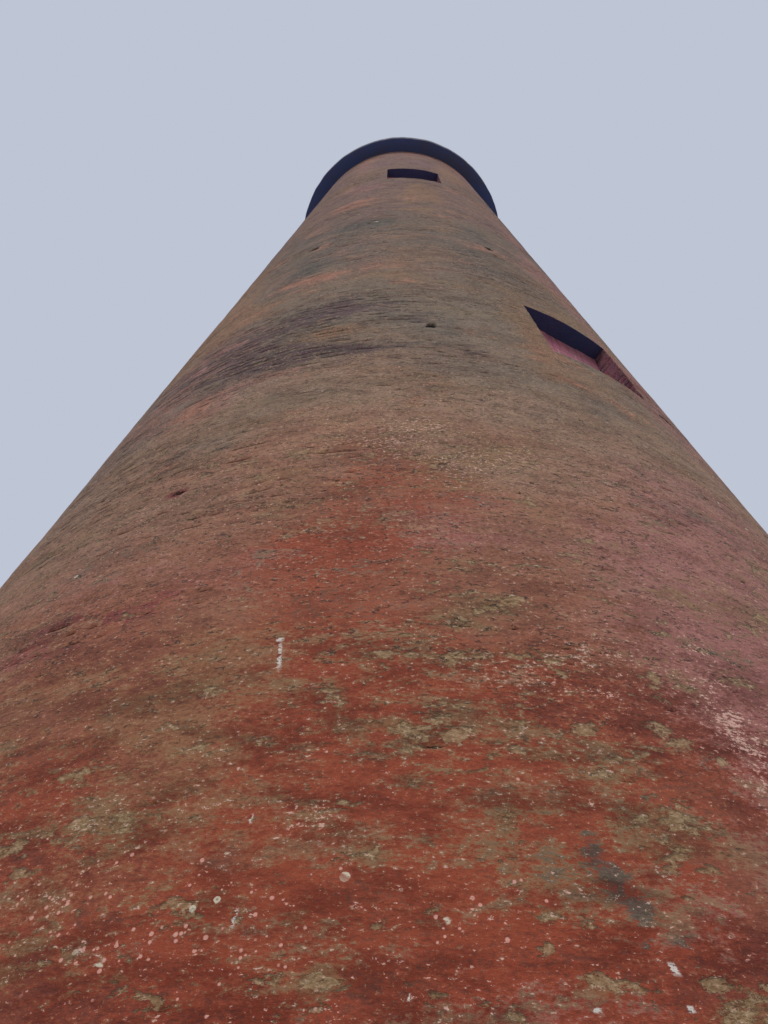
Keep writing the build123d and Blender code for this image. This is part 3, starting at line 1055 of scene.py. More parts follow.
def painted_brick(name):
    """Limewashed brick, with its colours from old to new."""
    wall = Finish(name, stretch=(1.0, 1.0, 2.4))
    x, y, z = wall.split(wall.place)
    worn = wall.field("worn")
    broad = wall.noise(0.7, 3.0)
    middle = wall.noise(2.6, 6.0, 0.66)
    brush = wall.noise(14.0, 6.0, 0.72)
    grain = wall.noise(55.0, 4.0, 0.75, at=wall.scaled(wall.place, (1.0, 1.0, 1.8)))
    grit = wall.noise(150.0, 2.0, 0.8, at=wall.place)
    tone = brick_tone(wall, x, y)

    share = z / SHAFT_TOP + wall.between(broad, 0.3, 0.7, -0.03, 0.03)
    colour = stained(wall, wall.ramp(share, BAND_STOPS), tone, middle, brush, grain)
    sheltered = wall.field("sheltered") * 0.9
    jamb = wall.layer(wall.between(middle, 0.4, 0.6), JAMB_MAUVE, JAMB_CRIMSON)
    colour = wall.layer(sheltered, colour, jamb)

    shown = tone * wall.between(worn, 0.2, 0.8, 0.08, 0.45)
    colour = wall.layer(shown, colour, BRICK_SHADOW, blend="MULTIPLY")
    coats = wall.between(wall.noise(3.4, 7.0, 0.72), 0.55, 0.40)
    coats = coats * wall.between(z, 2.8, 3.8, 0.9, 0.5)
    colour = wall.layer(coats, colour, COAT_SHADOW, blend="MULTIPLY")
    rub = brush * 0.4 + grain * 0.6
    dusty = wall.between(z, 2.2, 4.5, 0.4, 1.0)
    rubbed_in = dusty * wall.between(rub, 0.475, 0.425, 0, 0.56)
    rubbed_off = dusty * wall.between(rub, 0.54, 0.59, 0, 0.4)
    colour = wall.layer(rubbed_in, colour, DIRT_AND_SHADOW)
    colour = wall.layer(rubbed_off, colour, PALE_RENDER)

    flake, lip_shadow = fallen_flakes(wall, wall.field("bare"))
    ragged = wall.field("bare") + wall.between(brush, 0.35, 0.65, -0.2, 0.2)
    flake = wall.math("MAXIMUM", flake, wall.between(ragged, 0.92, 0.96))
    shows = flake * wall.between(z, 3.5, 6.0, 0.75, 0.25)
    render = wall.layer(wall.between(grain, 0.4, 0.65), KHAKI_RENDER, PALE_RENDER)
    colour = wall.layer(shows, colour, render)
    lost = wall.field("open") * wall.between(grain, 0.42, 0.58, 0.3, 1.6)
    lost = wall.between(lost, 0.25, 0.75)
    # Painted shadow under the flakes' upper edges and under small ledges, with the dark of open joints and
    # cracks.
    cracks_joints_and_shadow = wall.math("MAXIMUM", lip_shadow * 0.6, lost)
    cracks_joints_and_shadow = wall.math("MAXIMUM", cracks_joints_and_shadow, hairline_cracks_and_shadow(wall, worn, brush, z))
    colour = wall.layer(cracks_joints_and_shadow * 0.85, colour, DIRT_AND_SHADOW)
    colour = wall.layer(wall.between(grit, 0.42, 0.26, 0, 0.45), colour, DIRT_AND_SHADOW)
    colour = wall.layer(wall.between(grit, 0.60, 0.76, 0, 0.45), colour, PALE_RENDER)
    colour = wall.layer(scratched(wall, x, y, z, grain) * 0.85, colour, WHITE_LIME)

    colour = overgrown(wall, colour, middle, brush, grain)
    # Painted shade: the undersides of the openings, which face down, are laid over with dark blue.
    underside_shade = sheltered * wall.between(wall.upward(), -0.5, -0.9)
    colour = wall.layer(underside_shade, colour, UNDERSIDE_SHADE)
    # Painted shade fills the holes, which go 6 cm into the brick.
    colour = wall.layer(wall.between(wall.field("open"), 1.1, 2.0), colour, HOLE_SHADE)

    height = brush * 0.8 + grain * 0.3 - flake * 0.25 - lost * 0.4
    wall.shader.inputs["Specular IOR Level"].default_value = 0.25
    return wall.done(colour, wall.between(grit, 0.3, 0.7, 0.78, 0.96), wall.bump(height, 0.009))


WALL_FINISH = painted_brick("painted_brick")
print("the wall's finish has", len(WALL_FINISH.node_tree.nodes), "nodes")

# %% [markdown]
# The wall is thick at the foot and thinner above each floor, where a ledge carries the boards. Each dressed
# piece is fixed to the tower, and shows in place of the plain piece of the frame.

# %% Helpers that dress a piece of the frame
LOWER_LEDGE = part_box("lower_floor")[0].z
UPPER_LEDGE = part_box("upper_floor")[0].z
WALL_THICKNESS = [
    (0.0, LOWER_LEDGE, 0.900), (LOWER_LEDGE, UPPER_LEDGE, 0.680), (UPPER_LEDGE, SHAFT_TOP, 0.450),
]
SIDES = ["front", "right", "back", "left"]
CORNERS = ["front_right", "back_right", "back_left", "front_left"]
HALF_WINDOW = 0.430
QUARTER = 90.0
LOWER_BEARING = 23.5
UPPER_BEARING = 0.0
WINDOW_ROWS = [
    ("lower", LOWER_BEARING, LOWER_SILL, LOWER_HEAD), ("upper", UPPER_BEARING, UPPER_SILL, UPPER_HEAD),
]


def inner_face(low, high):
    """Levels and radii of the inner face, from the bottom up, with a ledge where the wall grows thinner."""
    found = []
    for ledge, next_ledge, thickness in WALL_THICKNESS:
        start, end = max(ledge, low), min(next_ledge, high)
        if start < end:
            found += [(start, radius_at(start) - thickness), (end, radius_at(end) - thickness)]
    return found


def fixed(piece, slot, *nodes):
    """Fix a piece to the tower, and show it in place of nodes of the frame; slot is not used."""
    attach(piece, "root")
    if nodes:
        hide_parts(*nodes)
    return piece


def dress(shell, node, material=WALL_FINISH, slot="painted_brick"):
    """Show this shell in place of a node of the frame, and count its faces."""
    return len(fixed(shell.object(node + "_relief", material), slot, node).data.polygons)


def half_window(level):
    """Half a window's width, the same all the way up."""
    return np.full(np.shape(level), HALF_WINDOW)


print("the wall is", WALL_THICKNESS[0][2], "m thick at the foot and", WALL_THICKNESS[-1][2], "m at the top")

# %% [markdown]
# Every plain piece of wall, and every pier between two windows, is now swapped for its gridded copy.
# Their names say which storey and side they belong to, so a loop can pair them up with the frame's nodes.

# %% Dress the storeys of the wall
quads = 0
STOREYS = [
    ("foot_wall_", 0.0, DOOR_COURSE), ("lower_wall_", DOOR_COURSE, LOWER_SILL),
    ("middle_wall_", LOWER_HEAD, UPPER_SILL), ("head_wall_", UPPER_HEAD, SHAFT_TOP),
]
for storey, low, high in STOREYS:
    for number, side in enumerate(SIDES):
        if storey + side != "foot_wall_back":
            ends = End(QUARTER * (number - 0.5)), End(QUARTER * (number + 0.5))
            quads += dress(wall_shell(*ends, low, high, inner_face(low, high)), storey + side)
for row, first, low, high in WINDOW_ROWS:
    for number, corner in enumerate(CORNERS):
        start = first + QUARTER * number
        ends = End(start, 1, half_window), End(start + QUARTER, -1, half_window)
        quads += dress(wall_shell(*ends, low, high, inner_face(low, high)), row + "_pier_" + corner)
print("the wall has", quads, "quads so far")

# %% [markdown]
# At the back a doorway goes through the foot of the wall. The photograph doesn't show it, so it repeats the
# tower's own brickwork. The wall on each side of it ends in a jamb, which slopes outwards over the springing
# to carry the arch.

# %% Dress the wall beside the doorway
HALF_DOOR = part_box("doorway_threshold")[1].x
SPRINGING = 1.9
ARCH_RISE = 0.2
ARCH_RADIUS = (HALF_DOOR ** 2 + ARCH_RISE ** 2) / (2 * ARCH_RISE)
ARCH_CENTRE = SPRINGING + ARCH_RISE - ARCH_RADIUS
FOOT_THICKNESS = WALL_THICKNESS[0][2]
BACK = 2 * QUARTER


def half_doorway(level):
    """Half the doorway's width, and over the springing the reach of the arch's sloping ends."""
    return HALF_DOOR * np.maximum(1.0, (level - ARCH_CENTRE) / (SPRINGING - ARCH_CENTRE))


beside_door = [(level, radius_at(level) - FOOT_THICKNESS) for level in (0.0, SPRINGING, DOOR_COURSE)]
right_jamb, left_jamb = [End(BACK, side, half_doorway, SPRINGING) for side in (-1, 1)]
right_end, left_end = [End(BACK + side * QUARTER / 2) for side in (-1, 1)]
quads += dress(wall_shell(right_end, right_jamb, 0.0, DOOR_COURSE, beside_door), "foot_wall_back_right")
quads += dress(wall_shell(left_jamb, left_end, 0.0, DOOR_COURSE, beside_door), "foot_wall_back_left")
print("the doorway is", round(2 * HALF_DOOR, 2), "m wide")

# %% [markdown]
# Over the opening the bricks stand on end in a low arch, which carries the wall above without a lintel. They
# get a grid that fans out from the arch's centre, with a groove at each joint between two bricks.

# %% Build the arch over the doorway
VOUSSOIRS = 15
VOUSSOIR_POINTS = (0.0, 0.07, 0.5, 0.93)
ARCH_RINGS = 12


def even_steps(count, points):
    """Places from 0 to count, with these points between each whole number and the next."""
    return np.append((np.arange(count)[:, None] + np.array(points)).ravel(), count)


def close_block(shell, outer, inner, maps):
    """A closed block between a gridded face and a plain one behind it."""
    plain = {name: 0.0 for name in maps}
    shell.grid(outer, maps)
    shell.grid(inner, plain, flip=True)
    shell.grid(np.stack([outer[0], inner[0]]), plain, flip=True)
    shell.grid(np.stack([outer[-1], inner[-1]]), plain)
    shell.grid(np.stack([outer[:, 0], inner[:, 0]], axis=1), plain, flip=True)
    shell.grid(np.stack([outer[:, -1], inner[:, -1]], axis=1), plain)
    return shell


def door_arch():
    """The bricks on end over the doorway, between the sloping ends of the wall."""
    reach = math.atan2(HALF_DOOR, SPRINGING - ARCH_CENTRE)
    step = 2 * reach / VOUSSOIRS
    turn = even_steps(VOUSSOIRS, VOUSSOIR_POINTS) * step - reach
    joint = np.append(np.tile([1.0, 0.0, 0.0, 0.0], VOUSSOIRS), 1.0)
    share = np.linspace(0, 1, ARCH_RINGS)[:, None]
    distance = ARCH_RADIUS + share * ((DOOR_COURSE - ARCH_CENTRE) / np.cos(turn) - ARCH_RADIUS)
    across, height = -distance * np.sin(turn), ARCH_CENTRE + distance * np.cos(turn)
    bearing = BACK - np.degrees(np.arcsin(across / radius_at(height)))
    level = np.full(height.shape, LOWER_SILL + COURSE / 2)
    maps = weather_maps(bearing, height)
    depth = relief(bearing, level, height, maps) + 0.5 * GROOVE_DEPTH * joint
    maps["level"] = level
    maps["open"] = 0.6 * joint + 0 * height
    faces = []
    for radius in (radius_at(height) - depth, radius_at(height) - FOOT_THICKNESS):
        faces.append(np.stack([across, np.sqrt(radius ** 2 - across ** 2), height], axis=-1))
    return close_block(Shell(), *faces, maps)


quads += dress(door_arch(), "doorway_arch")
print("the arch has", VOUSSOIRS, "bricks on end and a radius of", round(ARCH_RADIUS, 3), "m")
print("the whole wall has", quads, "quads")

# %% [markdown]
# Each window is blocked by a panel of brickwork, set back from the face and daubed with the same limewash.
# In its shelter the coat has kept a deep crimson, and pale runs of lime have dripped down it. Noise that is
# drawn out upwards makes both the runs and the damp between them.

# %% Finish for the blocked windows
INFILL_MAUVE = shade(148, 98, 108)
INFILL_DAMP = shade(84, 58, 76)
LIME_RUN = shade(190, 168, 170)


def painted_infill(name):
    """Crimson limewash with drips, dark joints and pale specks near the sill."""
    panel = Finish(name)
    soft = panel.noise(3.0, 5.0, 0.65)
    runs = panel.noise(9.0, 4.0, 0.6, at=panel.scaled(panel.place, (2.4, 2.4, 0.28)))
    grain = panel.noise(70.0, 3.0, 0.7)
    colour = panel.layer(panel.between(soft, 0.35, 0.62), INFILL_MAUVE, INFILL_CRIMSON)
    colour = panel.layer(panel.between(runs, 0.48, 0.34, 0, 0.5), colour, INFILL_DAMP)
    colour = panel.layer(panel.between(runs, 0.58, 0.70, 0, 0.4), colour, LIME_RUN)
    foot = panel.field("rise") + panel.between(soft, 0.2, 0.8, -0.12, 0.12)
    specks = panel.between(foot, 0.22, 0.02) * panel.between(grain, 0.46, 0.58)
    colour = panel.layer(specks, colour, PALE_LICHEN)
    colour = panel.layer(panel.between(panel.field("joint"), 0.2, 0.9, 0, 0.4), colour, DIRT_AND_SHADOW)
    colour = panel.layer(panel.between(grain, 0.42, 0.26, 0, 0.6), colour, DIRT_AND_SHADOW)
    height = runs * 0.5 + grain * 0.4
    panel.shader.inputs["Specular IOR Level"].default_value = 0.25
    return panel.done(colour, panel.between(grain, 0.3, 0.7, 0.7, 0.95), panel.bump(height, 0.005))


INFILL_FINISH = painted_infill("painted_infill")
print("the panels' finish has", len(INFILL_FINISH.node_tree.nodes), "nodes")

# %% [markdown]
# The panel gets a grid of its own: courses that line up with the wall's, and upright joints at every half
# brick. Each half brick leans in by a little, drawn at random, because this is rough work.

# %% Brick up the windows
SETBACK = 0.125
PANEL_THICKNESS = 0.225
HALF_BRICKS = 8
BRICK_POINTS = (0.0, 0.04, 0.35, 0.65, 0.96)
PANEL_GROOVE = 0.004
LEAN_DEPTH = 0.004
PANEL_SKIN = 0.001
brick_lean = np.random.default_rng(31)


def blocked_windows(first_bearing, sill, head):
    """The four brick panels of one row of windows."""
    shell = Shell()
    rows = course_rows(sill, head)
    course = np.floor((rows - sill) / COURSE + A_HAIR).astype(int)
    steps = even_steps(HALF_BRICKS, BRICK_POINTS)
    across = (steps / HALF_BRICKS * 2 - 1) * HALF_WINDOW
    brick = np.minimum(steps.astype(int), HALF_BRICKS - 1)
    upright = (steps % 1 == 0)[None, :] * ((brick[None, :] + course[:, None]) % 2 == 0)
    joint = np.maximum(joint_at(rows)[:, None], upright)
    front = math.sqrt(radius_at(head) ** 2 - HALF_WINDOW ** 2) - SETBACK
    x, z = np.meshgrid(across, rows)
    for number in range(4):
        lean = brick_lean.random((course[-1] + 1, HALF_BRICKS))[course][:, brick]
        depth = PANEL_SKIN + PANEL_GROOVE * joint + LEAN_DEPTH * lean
        turn = np.array(Matrix.Rotation(math.radians(first_bearing + QUARTER * number), 3, "Z")).T
        faces = []
        for y in (depth - front, PANEL_THICKNESS - front):
            faces.append(np.stack([x, y + 0 * x, z], axis=-1) @ turn)
        close_block(shell, *faces, {"joint": joint, "rise": (z - sill) / (head - sill)})
    return shell


for row, first, low, high in WINDOW_ROWS:
    panels = blocked_windows(first, low, high)
    count = dress(panels, row + "_window_infill", INFILL_FINISH, "painted_infill")
    print("the", row, "row of blocked windows has", count, "quads")

# %% [markdown]
# The gallery's ironwork, the lantern and their fittings are bars, plates, rods and turned shapes.
# A separate object for each bolt would be slow to handle, so a kit gathers the shapes of one fitting in one
# mesh. A small bevel goes on last, because an edge that catches the light tells metal from paper.

# %% A kit for ironwork


class Kit:
    """Blocks, rods and turned shapes that together make one piece."""

    def __init__(self):
        self.shape = bmesh.new()

    def block(self, place, size):
        """A box with its middle at this place."""
        bmesh.ops.create_cube(self.shape, size=1.0, matrix=place @ Matrix.Diagonal((*size, 1.0)))

    def cone(self, place, radii, length, sides):
        """A round shape along its own Z, with one radius at each end."""
        bmesh.ops.create_cone(
            self.shape, cap_ends=True, segments=sides,
            radius1=radii[0], radius2=radii[1], depth=length, matrix=place,
        )

    def rod(self, start, end, radius, sides=10):
        """A round bar from one point to another."""
        way = end - start
        place = Matrix.Translation((start + end) / 2) @ way.to_track_quat("Z", "Y").to_matrix().to_4x4()
        self.cone(place, (radius, radius), way.length, sides)

    def stud(self, place, radius, sides=8):
        """A low round head that stands out from the tower, as on a rivet or a bolt."""
        self.cone(place @ Matrix.Rotation(math.pi / 2, 4, "X"), (radius, 0.6 * radius), radius, sides)

    def turned(self, outline, segments=120):
        """A shape turned from radii and heights, from the axis below round to the axis above."""
        rings = []
        for radius, height in outline:
            turns = [2 * math.pi * number / segments for number in range(segments if radius > 0 else 1)]
            points = [(radius * math.sin(turn), -radius * math.cos(turn), height) for turn in turns]
            rings.append([self.shape.verts.new(point) for point in points])
        for low, high in zip(rings, rings[1:]):
            for number in range(segments):
                places = ((low, number), (low, number + 1), (high, number + 1), (high, number))
                corners = [ring[place % len(ring)] for ring, place in places]
                self.shape.faces.new(list(dict.fromkeys(corners)))

    def object(self, name, material, bevel=0.0):
        """Make the piece, and round its edges by this much."""
        mesh = bpy.data.meshes.new(name)
        self.shape.to_mesh(mesh)
        self.shape.free()
        mesh.materials.append(material)
        mesh.shade_smooth()
        mesh.set_sharp_from_angle(angle=math.radians(40))
        piece = bpy.data.objects.new(name, mesh)
        bpy.context.scene.collection.objects.link(piece)
        if bevel:
            rounding = piece.modifiers.new("rounded_edges", "BEVEL")
            rounding.width = bevel
            rounding.segments = 2
            rounding.limit_method = "ANGLE"
        return piece


print("a kit starts with", len(Kit().shape.verts), "points")

# %% [markdown]
# Fittings sit round the tower, so each needs a place that faces outwards. Many pieces of the frame have the
# right shape already, and only need their paint.

# %% Helpers that place a fitting and paint a piece


def facing(bearing, distance, height, aside=0.0):
    """A place on the tower, with its own -Y pointing out from the axis."""
    return Matrix.Rotation(math.radians(bearing), 4, "Z") @ Matrix.Translation((aside, -distance, height))


def paint_nodes(material, *nodes):
    """Give this finish to pieces of the frame whose shape is right as it is."""
    for node in nodes:
        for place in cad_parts[node].material_slots:
            place.material = material
    print(material.name, "is on", ", ".join(nodes))


print("a place that faces front, 2 m out:", [round(part, 2) for part in facing(0.0, 2.0, 0.0).translation])

# %% [markdown]
# The slab is the dark ring at the top of the photograph: stone, darkened on its underside by sooty damp and
# by painted shade. The finish paints that shade by which way the surface faces: dark blue below, weathered
# stone above, and an edge between them in painted half-shade, a little paler than the underside. The
# threshold is the same stone, kept clean by feet.

# %% Finish for the stone
# Sooty dark and painted shade for the slab's underside, and painted half-shade for its edge.
SOOT_AND_SHADE_BLUE = shade(50, 62, 108)
SOOT_AND_SHADE_BROWN = shade(54, 58, 90)
EDGE_HALF_SHADE = shade(84, 80, 90)
STONE_GREY = shade(132, 124, 112)
STONE_BROWN = shade(104, 92, 80)


def stone(name, under, under_patch, top, edge):
    """Stone coloured by the way it faces, as painted shade: one colour below, a weathered top, and its own
    tone on the edge.
    """
    slab = Finish(name)
    soft = slab.noise(1.6, 6.0, 0.65)
    grain = slab.noise(60.0, 4.0, 0.7)
    facing_up = slab.upward()
    # Painted shade by facing: the under colour goes on faces that look down, the edge colour on upright ones,
    # the top on those that look up.
    below = slab.layer(slab.between(soft, 0.42, 0.62), under, under_patch)
    above = slab.layer(slab.between(soft, 0.35, 0.65), top, STONE_BROWN)
    colour = slab.layer(slab.between(facing_up, -0.6, -0.1), below, edge)
    colour = slab.layer(slab.between(facing_up, 0.3, 0.8), colour, above)
    away, pick = slab.cells(16.0)[:2]
    crust = slab.between(pick, 0.8, 0.84) * slab.between(away, 0.42, 0.26)
    crust = crust * slab.between(facing_up, -0.2, 0.2)
    colour = slab.layer(crust * 0.7, colour, PALE_LICHEN)
    colour = slab.layer(slab.between(grain, 0.42, 0.25, 0, 0.6), colour, DIRT_AND_SHADOW)
    colour = slab.layer(slab.between(grain, 0.60, 0.78, 0, 0.35), colour, STONE_GREY)
    height = soft * 0.6 + grain * 0.4
    return slab.done(colour, slab.between(grain, 0.3, 0.7, 0.7, 0.95), slab.bump(height, 0.006))


SLAB_FINISH = stone("blackened_slab", SOOT_AND_SHADE_BLUE, SOOT_AND_SHADE_BROWN, STONE_GREY, EDGE_HALF_SHADE)
THRESHOLD_FINISH = stone("threshold_stone", STONE_GREY, STONE_BROWN, STONE_GREY, STONE_GREY)
paint_nodes(THRESHOLD_FINISH, "doorway_threshold")

# %% [markdown]
# The slab's edge is worn, so its outline is turned with rounded arrises, and then noise wears the edge back
# by a few millimetres here and there.

# %% Cap the tower with its slab
slab_radius = slab_high.x
SLAB_SEGMENTS = 288
EDGE_FROM = 2.0
EDGE_WEAR = 0.004
UNDER = [(0.0, 0.0), (1.2, 0.0), (1.8, 0.0), (1.95, 0.0)]
LOWER_ARRIS = [(-0.012, 0.0), (-0.004, 0.003), (0.0, 0.012), (0.0, 0.05)]
UPPER_ARRIS = [(0.0, -0.024), (-0.005, -0.010), (-0.022, 0.0)]
ON_TOP = [(1.9, 0.0), (1.3, 0.0), (0.0, 0.0)]
outline = []
for points, radius, level in (
    (UNDER, 0.0, slab_low.z), (LOWER_ARRIS, slab_radius, slab_low.z),
    (UPPER_ARRIS, slab_radius, slab_high.z), (ON_TOP, 0.0, slab_high.z),
):
    outline += [(radius + out, level + up) for out, up in points]
edge_noise = patchwork(41, 0.25, 0.5, 3)
slab_kit = Kit()
slab_kit.turned(outline, SLAB_SEGMENTS)
for vertex in slab_kit.shape.verts:
    across = math.hypot(vertex.co.x, vertex.co.y)
    if across > EDGE_FROM:
        bearing = math.degrees(math.atan2(vertex.co.x, -vertex.co.y))
        rise = vertex.co.z - slab_low.z
        worn_back = EDGE_WEAR * (1 + float(edge_noise(np.array(bearing), np.array(rise))))
        vertex.co.x *= 1 - worn_back / across
        vertex.co.y *= 1 - worn_back / across
fixed(slab_kit.object("gallery_slab_worn", SLAB_FINISH), "blackened_slab", "gallery_slab")
print("the slab overhangs the wall by", round(slab_radius - radius_at(SHAFT_TOP), 3), "m")

# %% [markdown]
# Inside there are three floors, seen only through the doorway. The upper two are boards, which need no
# geometry at this distance: the finish counts across the floor in widths of a board, gives each one its own
# tone, runs a long grain along it and darkens the gaps.

# %% Finish for the floor boards
BOARD = 0.16
BOARD_PALE = shade(134, 112, 84)
BOARD_DARK = shade(86, 66, 48)


def boards(name):
    """Boards along Y, each with a tone of its own."""
    deck = Finish(name)
    x, y, z = deck.split(deck.place)
    count = x / BOARD
    tone = deck.chance(deck.math("FLOOR", count))
    grain = deck.noise(6.0, 6.0, 0.7, at=deck.scaled(deck.place, (9.0, 0.7, 9.0)))
    mixed = tone * 0.5 + deck.between(grain, 0.3, 0.7, 0, 0.5)
    colour = deck.layer(mixed, BOARD_PALE, BOARD_DARK)
    gap = deck.between(abs(deck.math("FRACT", count) - 0.5), 0.475, 0.49)
    colour = deck.layer(gap * 0.9, colour, DIRT_AND_SHADOW)
    dust = deck.between(deck.noise(1.3, 5.0, 0.6), 0.45, 0.65, 0, 0.5)
    colour = deck.layer(dust, colour, STONE_GREY)
    height = grain * 0.3 - gap
    return deck.done(colour, deck.between(grain, 0.3, 0.7, 0.55, 0.85), deck.bump(height, 0.004))


paint_nodes(boards("floor_boards"), "lower_floor", "upper_floor")

# %% [markdown]
# The ground floor is stone flags, worn smooth by feet. They are counted both ways, and each row is shifted
# against the last, so that the joints don't make a cross.

# %% Finish for the stone flags
FLAG = 0.62
FLAG_SHIFT = 0.37


def stone_flags(name):
    """Square flags in rows along Y, each row shifted against the next."""
    flags = Finish(name)
    x, y, z = flags.split(flags.place)
    across = x / FLAG
    row = flags.math("FLOOR", across)
    along = y / FLAG + row * FLAG_SHIFT
    tone = flags.chance(flags.math("FLOOR", along) + row * ROW_APART)
    soft = flags.noise(2.2, 6.0, 0.65)
    grain = flags.noise(60.0, 4.0, 0.7)
    mixed = tone * 0.5 + flags.between(soft, 0.35, 0.65, 0, 0.5)
    colour = flags.layer(mixed, STONE_GREY, STONE_BROWN)
    edges = [abs(flags.math("FRACT", way) - 0.5) for way in (across, along)]
    joint = flags.between(flags.math("MAXIMUM", *edges), 0.485, 0.495)
    colour = flags.layer(joint * 0.85, colour, DIRT_AND_SHADOW)
    colour = flags.layer(flags.between(grain, 0.42, 0.25, 0, 0.5), colour, DIRT_AND_SHADOW)
    height = soft * 0.5 - joint
    return flags.done(colour, flags.between(grain, 0.3, 0.7, 0.6, 0.9), flags.bump(height, 0.005))


paint_nodes(stone_flags("stone_flags"), "ground_floor")

# %% [markdown]
# Paint on iron beside the sea fails in the same few ways: it dulls, it chips at the edges, and rust runs down
# from every chip and joint. One function makes them all, with the paint's own colour as its setting. The
# chips come from noise, and the runs from noise that is drawn out downwards.

# %% Finish for painted iron
RUST_DARK = shade(74, 42, 28)
RUST_BRIGHT = shade(142, 82, 46)


def painted_iron(name, fresh, dull, chips, runs):
    """Painted iron; chips and runs say how much of the paint has gone, and how far the rust has spread."""
    iron = Finish(name)
    soft = iron.noise(1.7, 6.0, 0.65)
    flow = iron.noise(8.0, 5.0, 0.65, at=iron.scaled(iron.place, (2.6, 2.6, 0.22)))
    grain = iron.noise(90.0, 3.0, 0.7)
    patch = iron.noise(11.0, 6.0, 0.7)
    colour = iron.layer(iron.between(soft, 0.35, 0.65), fresh, dull)
    colour = iron.layer(iron.between(flow, 0.50, 0.68, 0, runs), colour, RUST_BRIGHT)
    chip = iron.between(patch + chips, 0.66, 0.7)
    rust = iron.layer(iron.between(grain, 0.35, 0.65), RUST_DARK, RUST_BRIGHT)
    colour = iron.layer(chip * 0.92, colour, rust)
    colour = iron.layer(iron.between(grain, 0.42, 0.28, 0, 0.4), colour, DIRT_AND_SHADOW)
    height = grain * 0.25 - chip * 0.5
    rough = iron.layer(chip, (0.48, 0.48, 0.48, 1), (0.9, 0.9, 0.9, 1))
    rough = rough + iron.between(grain, 0.3, 0.7, -0.06, 0.06)
    return iron.done(colour, rough, iron.bump(height, 0.002))


RAILING_IRON = painted_iron("railing_iron", shade(40, 42, 46), shade(66, 66, 68), 0.06, 0.45)
LANTERN_IRON = painted_iron("lantern_iron", shade(206, 200, 184), shade(176, 168, 150), 0.02, 0.55)
ROOF_METAL = painted_iron("roof_metal", shade(92, 96, 98), shade(120, 120, 114), 0.03, 0.45)
paint_nodes(RAILING_IRON, "railing_posts", "railing_rails", "railing_top_rail")
paint_nodes(LANTERN_IRON, "lantern_wall", "lantern_door", "lantern_sill", "lantern_uprights", "lantern_head")
paint_nodes(ROOF_METAL, "lantern_roof", "roof_ventilator")

# %% [markdown]
# Each post of the railing stands on a foot plate, held down by two bolts, as on any gallery of this kind.

# %% Bolt down the railing
POSTS = 16
POST_CIRCLE = 1.78
FOOT_PLATE = (0.13, 0.07, 0.010)
BOLT_ASIDE = 0.047
rail_feet = Kit()
for number in range(POSTS):
    bearing = number * FULL_TURN / POSTS
    rail_feet.block(facing(bearing, POST_CIRCLE, slab_high.z + FOOT_PLATE[2] / 2), FOOT_PLATE)
    for aside in (-BOLT_ASIDE, BOLT_ASIDE):
        bolt = facing(bearing, POST_CIRCLE, 0.0, aside)
        foot = bolt @ Vector((0, 0, slab_high.z + FOOT_PLATE[2]))
        rail_feet.rod(foot, foot + Vector((0, 0, 0.012)), 0.011, 6)
        rail_feet.rod(foot, foot + Vector((0, 0, 0.020)), 0.006, 8)
fixed(rail_feet.object("railing_feet", RAILING_IRON, 0.0012), "railing_iron")
print("the railing has", POSTS, "posts, each on its bolted foot")

# %% [markdown]
# The lantern's wall is made of curved iron plates, and every joint between two plates has a riveted cover
# strip. Rivets are small, but rows of them give a viewer the scale of the thing at a glance. A ring of bolted
# lugs holds the wall down, with a gap for the door.

# %% Rivet the lantern's wall
PANES = 10
lantern_low, lantern_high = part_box("lantern_wall")
LANTERN_RADIUS = lantern_high.x
RIVET = 0.009
RIVET_ASIDE = 0.022
RIVETS_UP = 9
LUGS = 60
LUG = (0.121, 0.06, 0.012)
DOOR_GAP = 17.0
middle = (lantern_low.z + lantern_high.z) / 2
strip = (0.07, 0.012, lantern_high.z - lantern_low.z - 0.02)
plate_seams = Kit()
for number in range(PANES):
    bearing = (number + 0.5) * FULL_TURN / PANES
    plate_seams.block(facing(bearing, LANTERN_RADIUS, middle), strip)
    for level in np.linspace(lantern_low.z + 0.07, lantern_high.z - 0.07, RIVETS_UP):
        for aside in (-RIVET_ASIDE, RIVET_ASIDE):
            plate_seams.stud(facing(bearing, LANTERN_RADIUS + 0.008, level, aside), RIVET)
for number in range(LUGS):
    bearing = (number + 0.5) * FULL_TURN / LUGS
    if abs(bearing - BACK) > DOOR_GAP:
        plate_seams.block(facing(bearing, LANTERN_RADIUS + 0.022, lantern_low.z + LUG[2] / 2), LUG)
        foot = facing(bearing, LANTERN_RADIUS + 0.034, lantern_low.z + LUG[2]).translation
        plate_seams.rod(foot, foot + Vector((0, 0, 0.012)), 0.012, 6)
fixed(plate_seams.object("lantern_seams", LANTERN_IRON, 0.0012), "lantern_iron")
print("the lantern's wall has", 2 * RIVETS_UP * PANES, "rivets in its seams")

# %% [markdown]
# The lantern's door hangs on two strap hinges that reach across it, because a plain sheet of iron has no
# frame to screw a hinge to. Each strap is a row of short pieces, so it follows the curve of the door.

# %% Hang the lantern's door
door_low, door_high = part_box("lantern_door")
HALF_LEAF = door_high.x
UP = Vector((0, 0, 1))
STRAP_PIECE = (0.094, 0.010, 0.045)
STRAP_PIECES = 5
STRAP_INSET = 0.16
HALF_KNUCKLE = 0.045
HALF_HANDLE = 0.07
HANDLE_BAR = 0.009
HANDLE_OUT = 0.045
HANDLE_RISE = 0.42


def on_door(aside, out, level):
    """A place on the door, so far from its middle and so far out from its face."""
    turn = math.degrees(math.asin(aside / LANTERN_RADIUS))
    return facing(BACK - turn, LANTERN_RADIUS + out, level)


